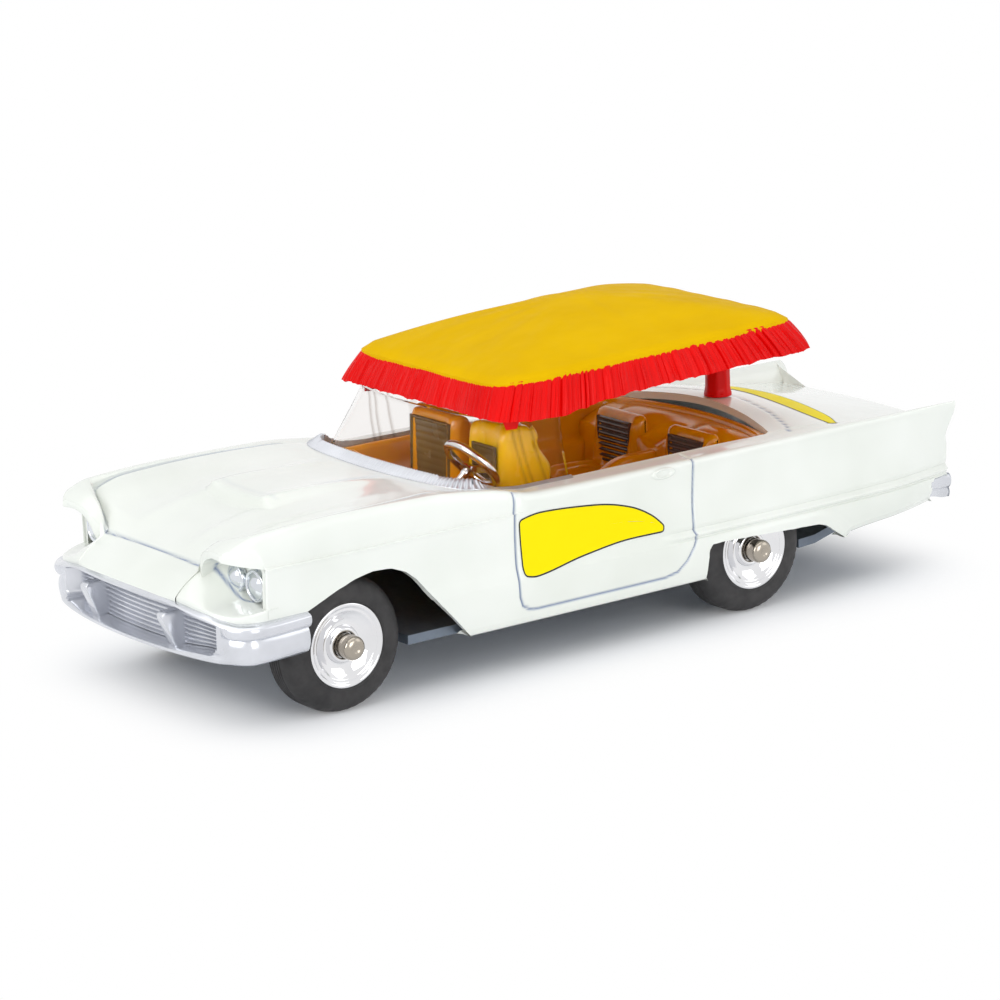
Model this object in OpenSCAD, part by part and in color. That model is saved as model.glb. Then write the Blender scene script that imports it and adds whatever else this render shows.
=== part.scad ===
// A die-cast toy taxi cab: an open late-fifties style convertible with tail
// fins, a plastic interior, a clear windscreen and a fringed canopy.
// Millimetres. +X is forward, +Y is the car's left side, +Z is up.
// The origin is on the ground, under the middle of the car.

/* [Overall] */
// Length over the bumpers
overall_length = 105; // [95:1:125]
// Distance between the axles
wheelbase = 55; // [50:0.5:60]
// Front of the front bumper to the front axle
front_overhang = 17.2; // [16:0.1:18]
// Width of the body shell at its widest
body_width = 36.6; // [36:0.1:40]
// Wall of the die-cast shell
shell_wall = 1; // [0.8:0.1:1.2]
// Gap between pieces that fit together
fit_gap = 0.1; // [0.05:0.01:0.2]

/* [Body heights] */
// Underside of the sills
sill_z = 5.5; // [4.5:0.1:6.5]
// Top of the moulding along the side
moulding_z = 11.4; // [10:0.1:12]
// Crease along the side of the front fender
crease_z = 17.3; // [16:0.1:18]
// Top edge of the doors, beside the cabin
belt_z = 19.2; // [18.5:0.1:21]
// Crown of the front fenders and of the bonnet's edges
crown_top_z = 21.2; // [20.5:0.1:22]
// Centre of the bonnet at the windscreen
cowl_z = 20.6; // [20:0.1:22]
// Crown of the rear deck behind the cabin
deck_z = 20.6; // [20:0.1:22]
// Tip of the tail fins
fin_z = 18.7; // [18:0.1:21]

/* [Wheels] */
// Diameter over the tyre
wheel_diameter = 14.6; // [13:0.1:15.4]
// Width of the tyre
tyre_width = 3.8; // [3:0.1:4.4]
// Radius of the bead, where the tyre sits on the hub
bead_radius = 4.55; // [4:0.05:5]
// Outer face of one hub to the outer face of the other
hub_span = 33.6; // [32:0.1:34]
// Diameter of the steel axles
axle_diameter = 1.8; // [1.4:0.1:2.2]
// Diameter of the riveted axle heads
axle_head_diameter = 2.6; // [2.4:0.1:3]
// Length over the axle heads
axle_length = 37; // [36:0.1:38]
// Running clearance of the hub on the axle, across the diameter
hub_clearance = 0.2; // [0.1:0.05:0.4]

/* [Base plate] */
// Underside of the base plate above the ground
base_z = 5.5; // [5:0.1:5.7]
// Thickness of the base plate
base_thickness = 1; // [0.8:0.1:1.2]
// Diameter of the two rivets that hold the base plate
rivet_diameter = 3; // [2:0.1:4]

/* [Cabin] */
// Front of the cabin opening, ahead of the rear axle
cabin_front = 38; // [36:0.5:39]
// Rear corners of the cabin opening, behind the rear axle
cabin_rear = 4.5; // [3:0.5:6]
// Width of the cabin opening
cabin_width = 28.6; // [26:0.1:30]
// Wall of the plastic interior
tub_wall = 0.8; // [0.6:0.1:1.2]
// Top of the cabin floor above the ground
floor_z = 10; // [9.5:0.1:11]
// Clear space round each wheel
wheel_clearance = 0.4; // [0.3:0.05:0.6]
// Height of the dashboard
dash_height = 4.5; // [3:0.1:6]
// Depth of the dashboard behind the front of the cabin opening
dash_depth = 3.6; // [2.5:0.1:5]
// Diameter of the steering wheel
steering_wheel_diameter = 7.4; // [6:0.1:8]

/* [Windscreen] */
// Thickness of the clear plastic
glass_wall = 0.7; // [0.5:0.1:1]
// Gap between the top of the glass and the canopy
glass_gap = 0.3; // [0.2:0.1:0.6]

/* [Canopy] */
// Length of the canopy over the fringe
canopy_length = 45; // [38:0.1:46]
// Width of the canopy over the fringe
canopy_width = 31; // [26:0.1:32]
// Height of the fringe's lower edge above the doors, at the front
canopy_height = 7.6; // [7:0.1:9]
// Height of the fringe
fringe_height = 3.4; // [2.5:0.1:4]
// Rise of the dome above the fringe
dome_rise = 3.6; // [3:0.1:6]
// Thickness of the moulded canopy
canopy_wall = 0.9; // [0.7:0.1:1.2]
// Diameter of the post on the rear deck
post_diameter = 3.2; // [2.6:0.1:4]

/* [Hidden] */

$fn = 48;
tiny = 0.01;
nose_x = overall_length / 2;
tail_x = -overall_length / 2;
front_axle_x = nose_x - front_overhang;
rear_axle_x = front_axle_x - wheelbase;
axle_z = wheel_diameter / 2;
half_body = body_width / 2;
hub_face_y = hub_span / 2;
cabin_front_x = rear_axle_x + cabin_front;
cabin_rear_x = rear_axle_x - cabin_rear;
tub_top_z = belt_z - 0.3;
well_radius = wheel_diameter / 2 + wheel_clearance;
well_inner_y = hub_face_y - tyre_width - 0.2 - wheel_clearance;
tub_step_z = axle_z + well_radius + fit_gap + tub_wall;

// ---------- smooth curves through a few points ----------

// index of the interval of table t that holds x
function interval(x, t, i = 0) =
    (i >= len(t) - 2 || x < t[i + 1][0]) ? i : interval(x, t, i + 1);
// slope of the curve at point i of table t
function slope(t, i) = let(a = max(i - 1, 0), b = min(i + 1, len(t) - 1))
    (t[b][1] - t[a][1]) / (t[b][0] - t[a][0]);
// value at x of the smooth curve through the points of table t
function curve(x, t) = let(
    i = interval(x, t),
    h = t[i + 1][0] - t[i][0],
    u = min(1, max(0, (x - t[i][0]) / h)),
    a = slope(t, i) * h,
    b = slope(t, i + 1) * h)
    t[i][1] * (1 - 3 * u * u + 2 * u * u * u) + a * (u - 2 * u * u + u * u * u)
    + t[i + 1][1] * (3 * u * u - 2 * u * u * u) + b * (u * u * u - u * u);

// ---------- lines of the body, along its length ----------

// half width at the side moulding
side_line = [[tail_x, half_body - 3.7], [tail_x + 4, half_body - 2.4],
    [tail_x + 14, half_body - 0.7], [rear_axle_x, half_body - 0.15],
    [0, half_body], [front_axle_x - 6, half_body],
    [nose_x - 12, half_body - 0.3], [nose_x - 7, half_body - 0.5], [nose_x, half_body - 1.6]];
// underside
low_line = [[tail_x, 9], [tail_x + 7, 7.6], [rear_axle_x - 12, 6.8], [rear_axle_x - 8, sill_z],
    [front_axle_x - 12, sill_z], [front_axle_x + 4, 8], [nose_x, 9]];
// height of the crease along the front fender, door and rear quarter
shoulder_z = [[tail_x, fin_z], [tail_x + 9, fin_z - 0.3], [rear_axle_x - 10, belt_z - 1],
    [rear_axle_x + 8, belt_z - 0.9], [rear_axle_x + 22, belt_z - 1.2], [cabin_front_x - 4.5, crease_z + 0.1],
    [front_axle_x, crease_z], [nose_x - 7, crease_z + 0.2], [nose_x, crease_z]];
// half width of the crease
shoulder_y = [[tail_x, half_body - 3], [tail_x + 8, half_body - 2.8],
    [rear_axle_x, half_body - 1.6], [0, half_body - 0.9], [front_axle_x, half_body - 0.6],
    [nose_x - 7, half_body - 0.7], [nose_x, half_body - 1.4]];
// height of the crown of the fender, beside the bonnet, cabin and deck
crown_z = [[tail_x, fin_z + 0.1], [tail_x + 9, fin_z + 0.2], [rear_axle_x - 10, belt_z],
    [rear_axle_x + 10, belt_z + 0.1], [cabin_front_x - 8, belt_z + 0.1], [cabin_front_x - 2, crown_top_z - 0.9],
    [cabin_front_x + 6, crown_top_z - 0.1], [front_axle_x, crown_top_z], [nose_x - 7, crown_top_z - 0.4],
    [nose_x - 4, crown_top_z - 1.3], [nose_x, crown_top_z - 3]];
// half width of that crown
crown_y = [[tail_x, half_body - 3.2], [tail_x + 9, half_body - 3.4],
    [rear_axle_x, half_body - 3], [0, half_body - 2.6], [front_axle_x, half_body - 2.2],
    [nose_x - 6, half_body - 2.4], [nose_x, half_body - 3]];
// height of the edge of the bonnet and deck
edge_z = [[tail_x, fin_z - 2.6], [tail_x + 12, fin_z - 1], [rear_axle_x - 8, belt_z + 0.3],
    [cabin_front_x - 8, belt_z + 0.1], [cabin_front_x, crown_top_z - 0.9], [front_axle_x, crown_top_z - 0.5],
    [nose_x - 7, crown_top_z - 1.5], [nose_x - 5, crease_z - 0.6], [nose_x, crease_z - 2.6]];
// half width of the edge of the bonnet and deck
edge_y = [[tail_x, half_body - 5.5], [rear_axle_x, half_body - 4.6], [0, half_body - 4.2],
    [front_axle_x, half_body - 3.2], [nose_x - 7, half_body - 3.4], [nose_x - 5, half_body - 8.9],
    [nose_x, half_body - 8.9]];
// height of the centre line
centre_z = [[tail_x, fin_z - 2.4], [tail_x + 8, fin_z - 0.7], [tail_x + 18, deck_z - 0.7],
    [rear_axle_x - 8, deck_z], [0, deck_z - 0.2], [cabin_front_x + 3, cowl_z],
    [front_axle_x, cowl_z - 0.6], [nose_x - 9, cowl_z - 2.2], [nose_x - 5, crease_z - 0.7],
    [nose_x - 1.5, crease_z - 3], [nose_x, crease_z - 4]];

// half of the outline at x, from the middle of the underside to the middle of
// the top; inset gives the inside of a wall, which is open below
function half_outline(x, inset = 0) = let(
    ys = curve(x, side_line) - inset,
    zl = inset > 0 ? 0 : curve(x, low_line),
    zt = curve(x, low_line),
    sz = curve(x, shoulder_z) - inset,
    sy = curve(x, shoulder_y) - inset,
    cz = (inset > 0 ? min(curve(x, crown_z), curve(x, edge_z) + 0.4) : curve(x, crown_z)) - inset,
    cy = curve(x, crown_y) - inset,
    ez = curve(x, edge_z) - inset,
    ey = curve(x, edge_y) - inset,
    mz = curve(x, centre_z) - inset,
    top = [for (i = [0:3]) let(u = 1 - i / 4)
        [ey * u, mz + (ez - mz) * u * u]])
    concat([[0, zl], [ys - 0.9, zl], [ys - 0.2, zt + 1], [ys, moulding_z - 1.4],
        [ys, moulding_z], [ys - 0.35, moulding_z + 0.5],
        [(ys + sy) / 2 - 0.1, (moulding_z + sz) / 2],
        [sy, min(sz, cz + 0.2)], [(sy + cy) / 2 + 0.1, max(min(sz, cz + 0.2), cz - 0.25)], [cy, cz]],
        top, [[0, mz]]);

// the whole outline at x, as points in space
function outline(x, inset = 0) = let(h = half_outline(x, inset), n = len(h))
    concat([for (p = h) [x, p[0], p[1]]],
        [for (i = [n - 2:-1:1]) [x, -h[i][0], h[i][1]]]);

// a closed solid through the outlines at each x of the list xs
module loft(xs, inset = 0) {
    rings = [for (x = xs) outline(x, inset)];
    n = len(rings[0]);
    m = len(rings);
    points = [for (r = rings) each r];
    sides = [for (i = [0:m - 2]) for (j = [0:n - 1]) let(k = (j + 1) % n)
        each [[i * n + k, i * n + j, (i + 1) * n + k], [(i + 1) * n + k, i * n + j, (i + 1) * n + j]]];
    start = [for (j = [0:n - 1]) j];
    end = [for (j = [n - 1:-1:0]) (m - 1) * n + j];
    polyhedron(points, concat(sides, [start, end]), convexity = 6);
}

// front edge of the body at y, seen from above: bowed, with rounded corners
function front_edge(y, bow, corner, width) = let(t = abs(y) / width)
    -bow * pow(t, 2) - corner * pow(t, 10);

// outline of the body seen from above
module plan(inset = 0) {
    hw = half_body + 1;
    polygon(concat(
        [for (i = [-12:12]) let(y = i / 12 * hw)
            [nose_x - 1.2 - inset + front_edge(y, 4, 2.6, half_body - 0.4), y]],
        [for (i = [8:-1:-8]) let(y = i / 8 * hw)
            [tail_x + 0.9 + inset + 0.6 * pow(abs(y) / half_body, 2), y]]));
}

// outline of the front bumper seen from above, inset from its outer face
module bumper_plan(inset = 0) {
    hw = half_bumper - inset;
    polygon(concat([[0, -hw]], [for (i = [-12:12]) let(y = i / 12 * hw)
        [nose_x - inset + front_edge(y, 2.6, 1.8, hw), y]], [[0, hw]]));
}

// outline of the rear bumper seen from above, inset from its outer face
module rear_bumper_plan(inset = 0) {
    hw = curve(tail_x, side_line) + 0.7;
    polygon(concat([[0, hw + 3 - inset], [tail_x + 6, hw + 1.2 - inset]], [for (i = [8:-1:-8])
        let(y = i / 8 * (hw - inset)) [tail_x + inset + 1.6 * pow(abs(i) / 8, 4), y]],
        [[tail_x + 6, -hw - 1.2 + inset], [0, -hw - 3 + inset]]));
}

// opening of the cabin seen from above
module cabin_plan(grow = 0) {
    hw = cabin_width / 2 + grow;
    polygon(concat(
        [for (i = [-6:6]) let(a = i / 6)
            [cabin_front_x + 1.2 + grow - 1.6 * pow(abs(a), 3), a * hw]],
        [for (i = [6:-1:-6]) let(a = i / 6)
            [cabin_rear_x - grow - 2.6 * (1 - a * a), a * hw]]));
}

module front_arch_outline() {
    polygon([for (p = [[-15.6, 0], [-14.5, sill_z + 0.5], [-10.8, 10], [-8, 13.2], [-6.6, 14.3],
        [-5, 14.8], [-2.2, 14.9], [1, 14.3], [3.4, 13.2], [4.9, 12], [5.8, 9], [6, 0]])
        [front_axle_x + p[0], p[1]]]);
}

module rear_arch_outline() {
    polygon([for (p = [[8, 0], [8, sill_z + 0.4], [7.7, 9.4], [7.3, 9.7], [-8.6, 9], [-9.3, 8.8], [-11.4, 7.4],
        [-11.9, 6], [-11.9, 0]]) [rear_axle_x + p[0], p[1]]]);
}

// ---------- pieces ----------

module body_shell() {
    outer = [for (i = [0:48]) tail_x + overall_length * i / 48];
    inner = [for (i = [0:30]) tail_x + 1.6 + (overall_length - 5.2) * i / 30];
    color("ivory") difference() {
        union() {
            intersection() {
                loft(outer);
                linear_extrude(60) plan();
            }
            bonnet_scoop();
        }
        intersection() {
            loft(inner, shell_wall);
            translate([0, 0, -1]) linear_extrude(60) plan(shell_wall);
        }
        translate([0, 0, 12]) linear_extrude(30) cabin_plan();
        for (s = [-1, 1]) {
            translate([0, s > 0 ? 30 : -14, 0]) rotate([90, 0, 0]) linear_extrude(16) {
                front_arch_outline();
                rear_arch_outline();
            }
            lamp_recess(s);
        }
        bumper_space();
        wheel_wells();
    }
}

// the space in which the wheels turn
module wheel_wells() {
    for (x = [front_axle_x, rear_axle_x]) for (s = [-1, 1])
        translate([x, s * (well_inner_y + hub_face_y + wheel_clearance) / 2, axle_z])
            rotate([90, 0, 0])
                cylinder(r = well_radius, h = hub_face_y + wheel_clearance - well_inner_y,
                    center = true);
}

// low wide scoop on the bonnet, with its mouth to the front
module bonnet_scoop() {
    mouth_x = nose_x - 15;
    steps = 8;
    for (i = [0:steps - 1]) {
        hull() {
            for (k = [i, i + 1]) let(u = k / steps, x = mouth_x - 13 * u)
                translate([x, 0, curve(x, centre_z)])
                    cube([0.1, 10.4 - 1.6 * u, 1.6 - 1.3 * u], center = true);
        }
    }
}

lamp_z = 15.3;
lamp_diameter = 2.8;
// across the car, the places of the outer and the inner lamp of a pair
function lamp_y(k) = half_body - 2.7 - 2.9 * k;
// along the car, the face of the lamps
function lamp_x(k) = nose_x - 7.4 + 0.6 * k;

// hollow of the headlamp pod, open to the front and running inwards
module lamp_recess(s) {
    hull() {
        translate([lamp_x(0), s * (half_body - 2.6), lamp_z])
            rotate([0, 90, 0]) cylinder(d = 4.2, h = 12);
        translate([lamp_x(1) + 0.4, s * (half_body - 6), lamp_z - 0.1])
            rotate([0, 90, 0]) cylinder(d = 3.9, h = 12);
        translate([nose_x - 5, s * (half_body - 8), lamp_z - 1])
            rotate([0, 90, 0]) cylinder(d = 1.6, h = 12);
    }
}

bumper_top_z = 13.1;
rear_bumper_top_z = 10.4;
bumper_rear_x = front_axle_x + 5.3;
half_bumper = half_body + 0.8;
valance_z = 7.9;
grille_z = 8.6;
grille_height = 3.5;
bumper_step_z = grille_z + grille_height - 0.8;
half_grille = 14.8;
bumper_depth = 2.4;
guard_y = 7.5;
guard_width = 2;

// room for the two bumper units below the body
module bumper_space() {
    translate([bumper_rear_x - 3, -40, 0]) cube([30, 80, bumper_top_z + 0.02]);
    translate([tail_x - 2, -40, 0]) cube([7.6, 80, rear_bumper_top_z + 0.02]);
}

module front_bumper() {
    color("silver") difference() {
        union() {
            translate([0, 0, bumper_step_z]) linear_extrude(bumper_top_z - bumper_step_z) bumper_part(0);
            translate([0, 0, valance_z]) linear_extrude(bumper_step_z - valance_z) bumper_part(0.8);
            for (s = [-1, 1]) guard(s);
        }
        linear_extrude(40, center = true) bumper_plan(bumper_depth);
        translate([0, 0, grille_z]) linear_extrude(grille_height - 0.3) intersection() {
            translate([nose_x - 12, -half_grille]) square([20, 2 * half_grille]);
            difference() {
                bumper_plan(-1);
                guard_slots();
            }
        }
    }
}

// the bumper's outline from its front to its wrapped ends
module bumper_part(inset) {
    intersection() {
        bumper_plan(inset);
        translate([bumper_rear_x + inset, -30]) square([30, 60]);
    }
}

// the places of the two guards, seen from above
module guard_slots() {
    for (s = [-1, 1])
        translate([nose_x - 12, s * guard_y - guard_width / 2]) square([20, guard_width]);
}

// one of the two wedge-shaped guards that stand in front of the grille
module guard(s) {
    translate([0, s * guard_y - guard_width / 2, 0]) rotate([90, 0, 0]) mirror([0, 0, 1])
        linear_extrude(guard_width)
        polygon([[nose_x - 3, grille_z - 0.5], [nose_x - 2.3, grille_z - 0.5], [nose_x - 0.6, 11.4],
            [nose_x - 0.8, 11.8], [nose_x - 3, 11.9]]);
}

module grille() {
    color("silver") translate([0, 0, grille_z]) linear_extrude(grille_height - 0.3) difference() {
        intersection() {
            bumper_plan(1.6);
            translate([nose_x - 12, -half_grille]) square([20, 2 * half_grille]);
        }
        bumper_plan(bumper_depth);
        guard_slots();
    }
}

module rear_bumper() {
    color("silver") translate([0, 0, rear_bumper_top_z - 2.8]) linear_extrude(2.8) difference() {
        intersection() {
            rear_bumper_plan();
            translate([tail_x - 1, -30]) square([6.4, 60]);
        }
        rear_bumper_plan(1.6);
    }
}

module headlamps(s) {
    color("gainsboro") for (k = [0, 1])
        translate([lamp_x(k), s * lamp_y(k), lamp_z]) rotate([0, 90, 0]) cylinder(d = lamp_diameter, h = 1);
}

module headlamps_left() { headlamps(1); }
module headlamps_right() { headlamps(-1); }

module tail_lamps(s) {
    color("firebrick") for (k = [0, 1])
        translate([tail_x + 0.86, s * (half_body - 5.6 - 4 * k), 13])
            rotate([0, -90, 0]) cylinder(d = 3, h = 0.8);
}

module tail_lamps_left() { tail_lamps(1); }
module tail_lamps_right() { tail_lamps(-1); }

// half of the windscreen's foot and head, seen from above
glass_foot_y = cabin_width / 2 - fit_gap - 0.05;
glass_head_y = cabin_width / 2 - 1.2;
glass_foot = [[cabin_front_x + 0.95, 0], [cabin_front_x + 0.8, 0.36 * glass_foot_y],
    [cabin_front_x + 0.3, 0.7 * glass_foot_y], [cabin_front_x - 0.6, 0.88 * glass_foot_y],
    [cabin_front_x - 1.9, 0.97 * glass_foot_y], [cabin_front_x - 4.5, glass_foot_y],
    [cabin_front_x - 14.4, glass_foot_y]];
glass_head = [[cabin_front_x - 3.6, 0], [cabin_front_x - 3.8, 0.4 * glass_head_y],
    [cabin_front_x - 4.5, 0.73 * glass_head_y], [cabin_front_x - 5.4, 0.89 * glass_head_y],
    [cabin_front_x - 6.6, 0.97 * glass_head_y], [cabin_front_x - 9, glass_head_y],
    [cabin_front_x - 13.4, glass_head_y]];

module windscreen() {
    mirror_path = function(p) concat([for (i = [len(p) - 1:-1:1]) [p[i][0], -p[i][1]]], p);
    foot = mirror_path(glass_foot);
    head = mirror_path(glass_head);
    n = len(foot);
    shrink = function(p) let(c = [cabin_front_x - 14, 0], d = p - c) c + d * (1 - glass_wall / norm(d));
    pts = concat([for (p = foot) [p[0], p[1], tub_top_z]],
        [for (p = head) [p[0], p[1], glass_top_z]],
        [for (p = foot) let(q = shrink(p)) [q[0], q[1], tub_top_z]],
        [for (p = head) let(q = shrink(p)) [q[0], q[1], glass_top_z]]);
    quad = function(a, b, c, d) [[a, b, c], [a, c, d]];
    faces = [for (i = [0:n - 2]) each concat(
        quad(i, i + n, i + n + 1, i + 1),
        quad(i + 2 * n, i + 2 * n + 1, i + 3 * n + 1, i + 3 * n),
        quad(i + n, i + 3 * n, i + 3 * n + 1, i + n + 1),
        quad(i, i + 1, i + 2 * n + 1, i + 2 * n))];
    color("lightcyan", 0.4)
        polyhedron(pts, concat(faces, quad(0, 2 * n, 3 * n, n), quad(n - 1, 2 * n - 1, 4 * n - 1, 3 * n - 1)));
}

// the lower half of the interior, between the wheels
module tub_plan(grow = 0) {
    intersection() {
        cabin_plan(grow - fit_gap);
        square([200, 2 * (well_inner_y - fit_gap + grow)], center = true);
    }
}

module interior_tub() {
    color("darkorange") {
        difference() {
            union() {
                translate([0, 0, tub_step_z - tub_wall]) linear_extrude(tub_top_z - tub_step_z + tub_wall)
                    cabin_plan(-fit_gap);
                translate([0, 0, floor_z - tub_wall]) linear_extrude(tub_top_z - floor_z) tub_plan();
            }
            translate([0, 0, tub_step_z]) linear_extrude(30) cabin_plan(-fit_gap - tub_wall);
            translate([0, 0, floor_z]) linear_extrude(30) tub_plan(-tub_wall);
        }
        dashboard();
    }
}

// fills the front of the tub below the windscreen
module dashboard() {
    translate([0, 0, tub_top_z - dash_height]) linear_extrude(dash_height) intersection() {
        cabin_plan(-fit_gap - tub_wall + tiny);
        translate([cabin_front_x - dash_depth, -30]) square([20, 60]);
    }
    translate([0, 0, tub_top_z - tiny]) linear_extrude(0.9) intersection() {
        cabin_plan(-fit_gap - glass_wall - 1);
        translate([cabin_front_x - dash_depth, -30]) square([20, 60]);
    }
}

// a seat w wide at the middle of its cushion's rear edge, with its back
module seat(x, y, w, top, depth, back) {
    translate([x, y - w / 2, floor_z]) {
        cube([depth, w, 3]);
        translate([-back, 0, 0]) cube([back, w, top - floor_z]);
    }
}

front_seat_x = cabin_front_x - 10.6;
rear_seat_x = rear_axle_x + 1;
seat_top_z = belt_z + 4.8;
// across the car, the middles of the driver's, the passenger's and the rear seats
driver_y = 4.4;
passenger_y = -5.6;
rear_seat_y = 6.4;
insert_z = floor_z + 3.2;
insert_wall = 0.4;
module front_seat_left() { color("gold") seat(front_seat_x, driver_y, 7, seat_top_z, 5.4, 5); }
module front_seat_right() { color("orange") seat(front_seat_x, passenger_y, 8.8, seat_top_z, 5.4, 2.4); }
module rear_seats() {
    color("orange") for (s = [-1, 1]) seat(rear_seat_x, s * rear_seat_y, 8.2, belt_z, 7.6, 2);
}
// a ribbed panel w wide and h high on the front of a seat's back
module seat_insert(x, y, w, h) {
    color("dimgray") translate([x, y - w / 2, insert_z]) cube([insert_wall, w, h]);
}
module front_seat_inserts() {
    h = seat_top_z - floor_z - 5.4;
    seat_insert(front_seat_x, driver_y, 4, h);
    seat_insert(front_seat_x, passenger_y, 6, h);
}
module rear_seat_inserts() {
    for (s = [-1, 1]) seat_insert(rear_seat_x, s * rear_seat_y, 6, 5.2);
}

column_angle = 40;
wheel_centre = [cabin_front_x - 7.3, 6.2, tub_top_z + 1.5];

// a frame at the steering wheel's centre, with +Z along the column towards the driver
module at_steering() {
    translate(wheel_centre) rotate([0, column_angle - 90, 0]) children();
}

module steering_wheel() {
    r = steering_wheel_diameter / 2;
    rim = 0.36;
    color("silver") at_steering() {
        rotate_extrude() translate([r - rim, 0]) circle(rim, $fn = 16);
        cylinder(r = 0.8, h = 0.7, center = true);
        translate([-r + rim, -0.3, -0.2]) cube([2 * (r - rim), 0.6, 0.4]);
    }
}

module steering_column() {
    length = (wheel_centre[0] - cabin_front_x + dash_depth) / -cos(column_angle);
    color("silver") at_steering() translate([0, 0, 0.3 - length]) cylinder(r = 0.45, h = length - 0.65);
}

// ---------- canopy ----------
canopy_x = rear_axle_x + 11.4;
canopy_z = belt_z + canopy_height;
function canopy_ring(a, grow, k = 9) = let(
    c = cos(a), s = sin(a),
    hx = canopy_length / 2 + grow, hy = canopy_width / 2 + grow,
    r = pow(pow(abs(c) / hx, k) + pow(abs(s) / hy, k), -1 / k))
    [canopy_x + r * c, r * s];
canopy_tilt = 0.03;
fringe_flare = 1.4;
glass_top_z = canopy_z + canopy_rise(cabin_front_x) - glass_gap;
// the canopy rises a little towards the rear
function canopy_rise(x) = (canopy_x + canopy_length / 2 - x) * canopy_tilt;

module canopy_fringe() {
    n = 72;
    ring = function(grow, z) [for (j = [0:n - 1]) let(p = canopy_ring(360 * j / n, grow))
        [p[0], p[1], canopy_z + z + canopy_rise(p[0])]];
    rings = [ring(0, 0), ring(-fringe_flare, fringe_height),
        ring(-fringe_flare - canopy_wall, fringe_height), ring(-canopy_wall, 0)];
    faces = [for (i = [0:3]) for (j = [0:n - 1]) let(k = (j + 1) % n, i2 = (i + 1) % 4)
        each [[i * n + j, i2 * n + k, i * n + k], [i * n + j, i2 * n + j, i2 * n + k]]];
    color("red") polyhedron([for (r = rings) each r], faces, convexity = 4);
}

module canopy_top() {
    n = 72;
    m = 8;
    // a ring of the dome, from the rim at s = 1 towards the crown
    dome = function(s, lift) [for (j = [0:n - 1]) let(
        e = canopy_ring(360 * j / n, -fringe_flare, 2 + 7 * s),
        x = canopy_x + (e[0] - canopy_x) * s)
        [x, e[1] * s, canopy_z + fringe_height + canopy_rise(x) + dome_rise * (1 - pow(s, 1.7)) + lift]];
    crown = [canopy_x, 0, canopy_z + fringe_height + canopy_rise(canopy_x) + dome_rise];
    rings = concat([for (i = [1:m]) dome(i / m, canopy_wall)], [for (i = [m:-1:1]) dome(i / m, 0)]);
    pts = concat([crown + [0, 0, canopy_wall]], [for (r = rings) each r], [crown]);
    last = len(pts) - 1;
    walls = [for (i = [0:2 * m - 2]) for (j = [0:n - 1]) let(
        a = 1 + i * n + j, b = 1 + i * n + (j + 1) % n)
        each [[a, b, b + n], [a, b + n, a + n]]];
    caps = [for (j = [0:n - 1]) let(k = (j + 1) % n)
        each [[0, k + 1, j + 1], [last, last - n + j, last - n + k]]];
    color("gold") polyhedron(pts, concat(walls, caps), convexity = 4);
}

module canopy_post() {
    x = cabin_rear_x - 2.6 - post_diameter / 2 - 0.4;
    foot = curve(x, centre_z) + 0.12;
    color("red") translate([x, 0, foot]) cylinder(d = post_diameter, h = canopy_z + canopy_rise(x) - foot);
}

// ---------- wheels ----------

module tyre_section() {
    shoulder = tyre_width / 2 - 0.4;
    r = wheel_diameter / 2;
    difference() {
        union() {
            for (s = [-1, 1]) translate([r - shoulder, s * (tyre_width / 2 - shoulder)]) circle(shoulder);
            translate([r - shoulder, -(tyre_width / 2 - shoulder)]) square([shoulder, tyre_width - 2 * shoulder]);
            translate([bead_radius, -tyre_width / 2]) square([r - shoulder - bead_radius, tyre_width]);
        }
        translate([bead_radius - 2, -tyre_width]) square([2, tyre_width * 2]);
    }
}

// a wheel piece, with its outer face at y = 0 and the wheel behind it
module at_wheel(x, s) {
    translate([x, s * hub_face_y, axle_z]) mirror([0, s < 0 ? 1 : 0, 0]) rotate([90, 0, 0]) children();
}

module tyre() {
    color("black") translate([0, 0, tyre_width / 2 + 0.2]) rotate_extrude($fn = 72) tyre_section();
}

module hub() {
    depth = tyre_width + 0.2;
    bore = (axle_diameter + hub_clearance) / 2;
    color("whitesmoke") rotate_extrude($fn = 72) polygon([[bore, 0.3], [1.5, 0.3], [1.9, 0.9],
        [2.7, 1], [3.1, 0.5], [3.5, 0.35], [3.8, 0], [bead_radius, 0], [bead_radius, depth], [bore, depth]]);
}

module tyre_front_left() { at_wheel(front_axle_x, 1) tyre(); }
module tyre_front_right() { at_wheel(front_axle_x, -1) tyre(); }
module tyre_rear_left() { at_wheel(rear_axle_x, 1) tyre(); }
module tyre_rear_right() { at_wheel(rear_axle_x, -1) tyre(); }
module hub_front_left() { at_wheel(front_axle_x, 1) hub(); }
module hub_front_right() { at_wheel(front_axle_x, -1) hub(); }
module hub_rear_left() { at_wheel(rear_axle_x, 1) hub(); }
module hub_rear_right() { at_wheel(rear_axle_x, -1) hub(); }

module axle(x) {
    head = 1.1;
    color("lightgray") translate([x, 0, axle_z]) rotate([90, 0, 0]) {
        cylinder(d = axle_diameter, h = axle_length - 2 * head + 0.2, center = true);
        for (s = [-1, 1]) mirror([0, 0, s < 0 ? 1 : 0]) translate([0, 0, axle_length / 2 - head])
            rotate_extrude() intersection() {
                translate([0, head - 2]) circle(2);
                square([axle_head_diameter / 2, head]);
            }
    }
}

module front_axle() { axle(front_axle_x); }
module rear_axle() { axle(rear_axle_x); }

// outline of the base plate seen from above, narrower below the tail
module base_outline() {
    side = half_body - 2.5;
    half = [[tail_x, side - 5], [rear_axle_x - 17, side - 2.2], [rear_axle_x, side], [front_axle_x, side],
        [nose_x, side - 2]];
    polygon(concat(half, [for (i = [len(half) - 1:-1:0]) [half[i][0], -half[i][1]]]));
}

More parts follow.
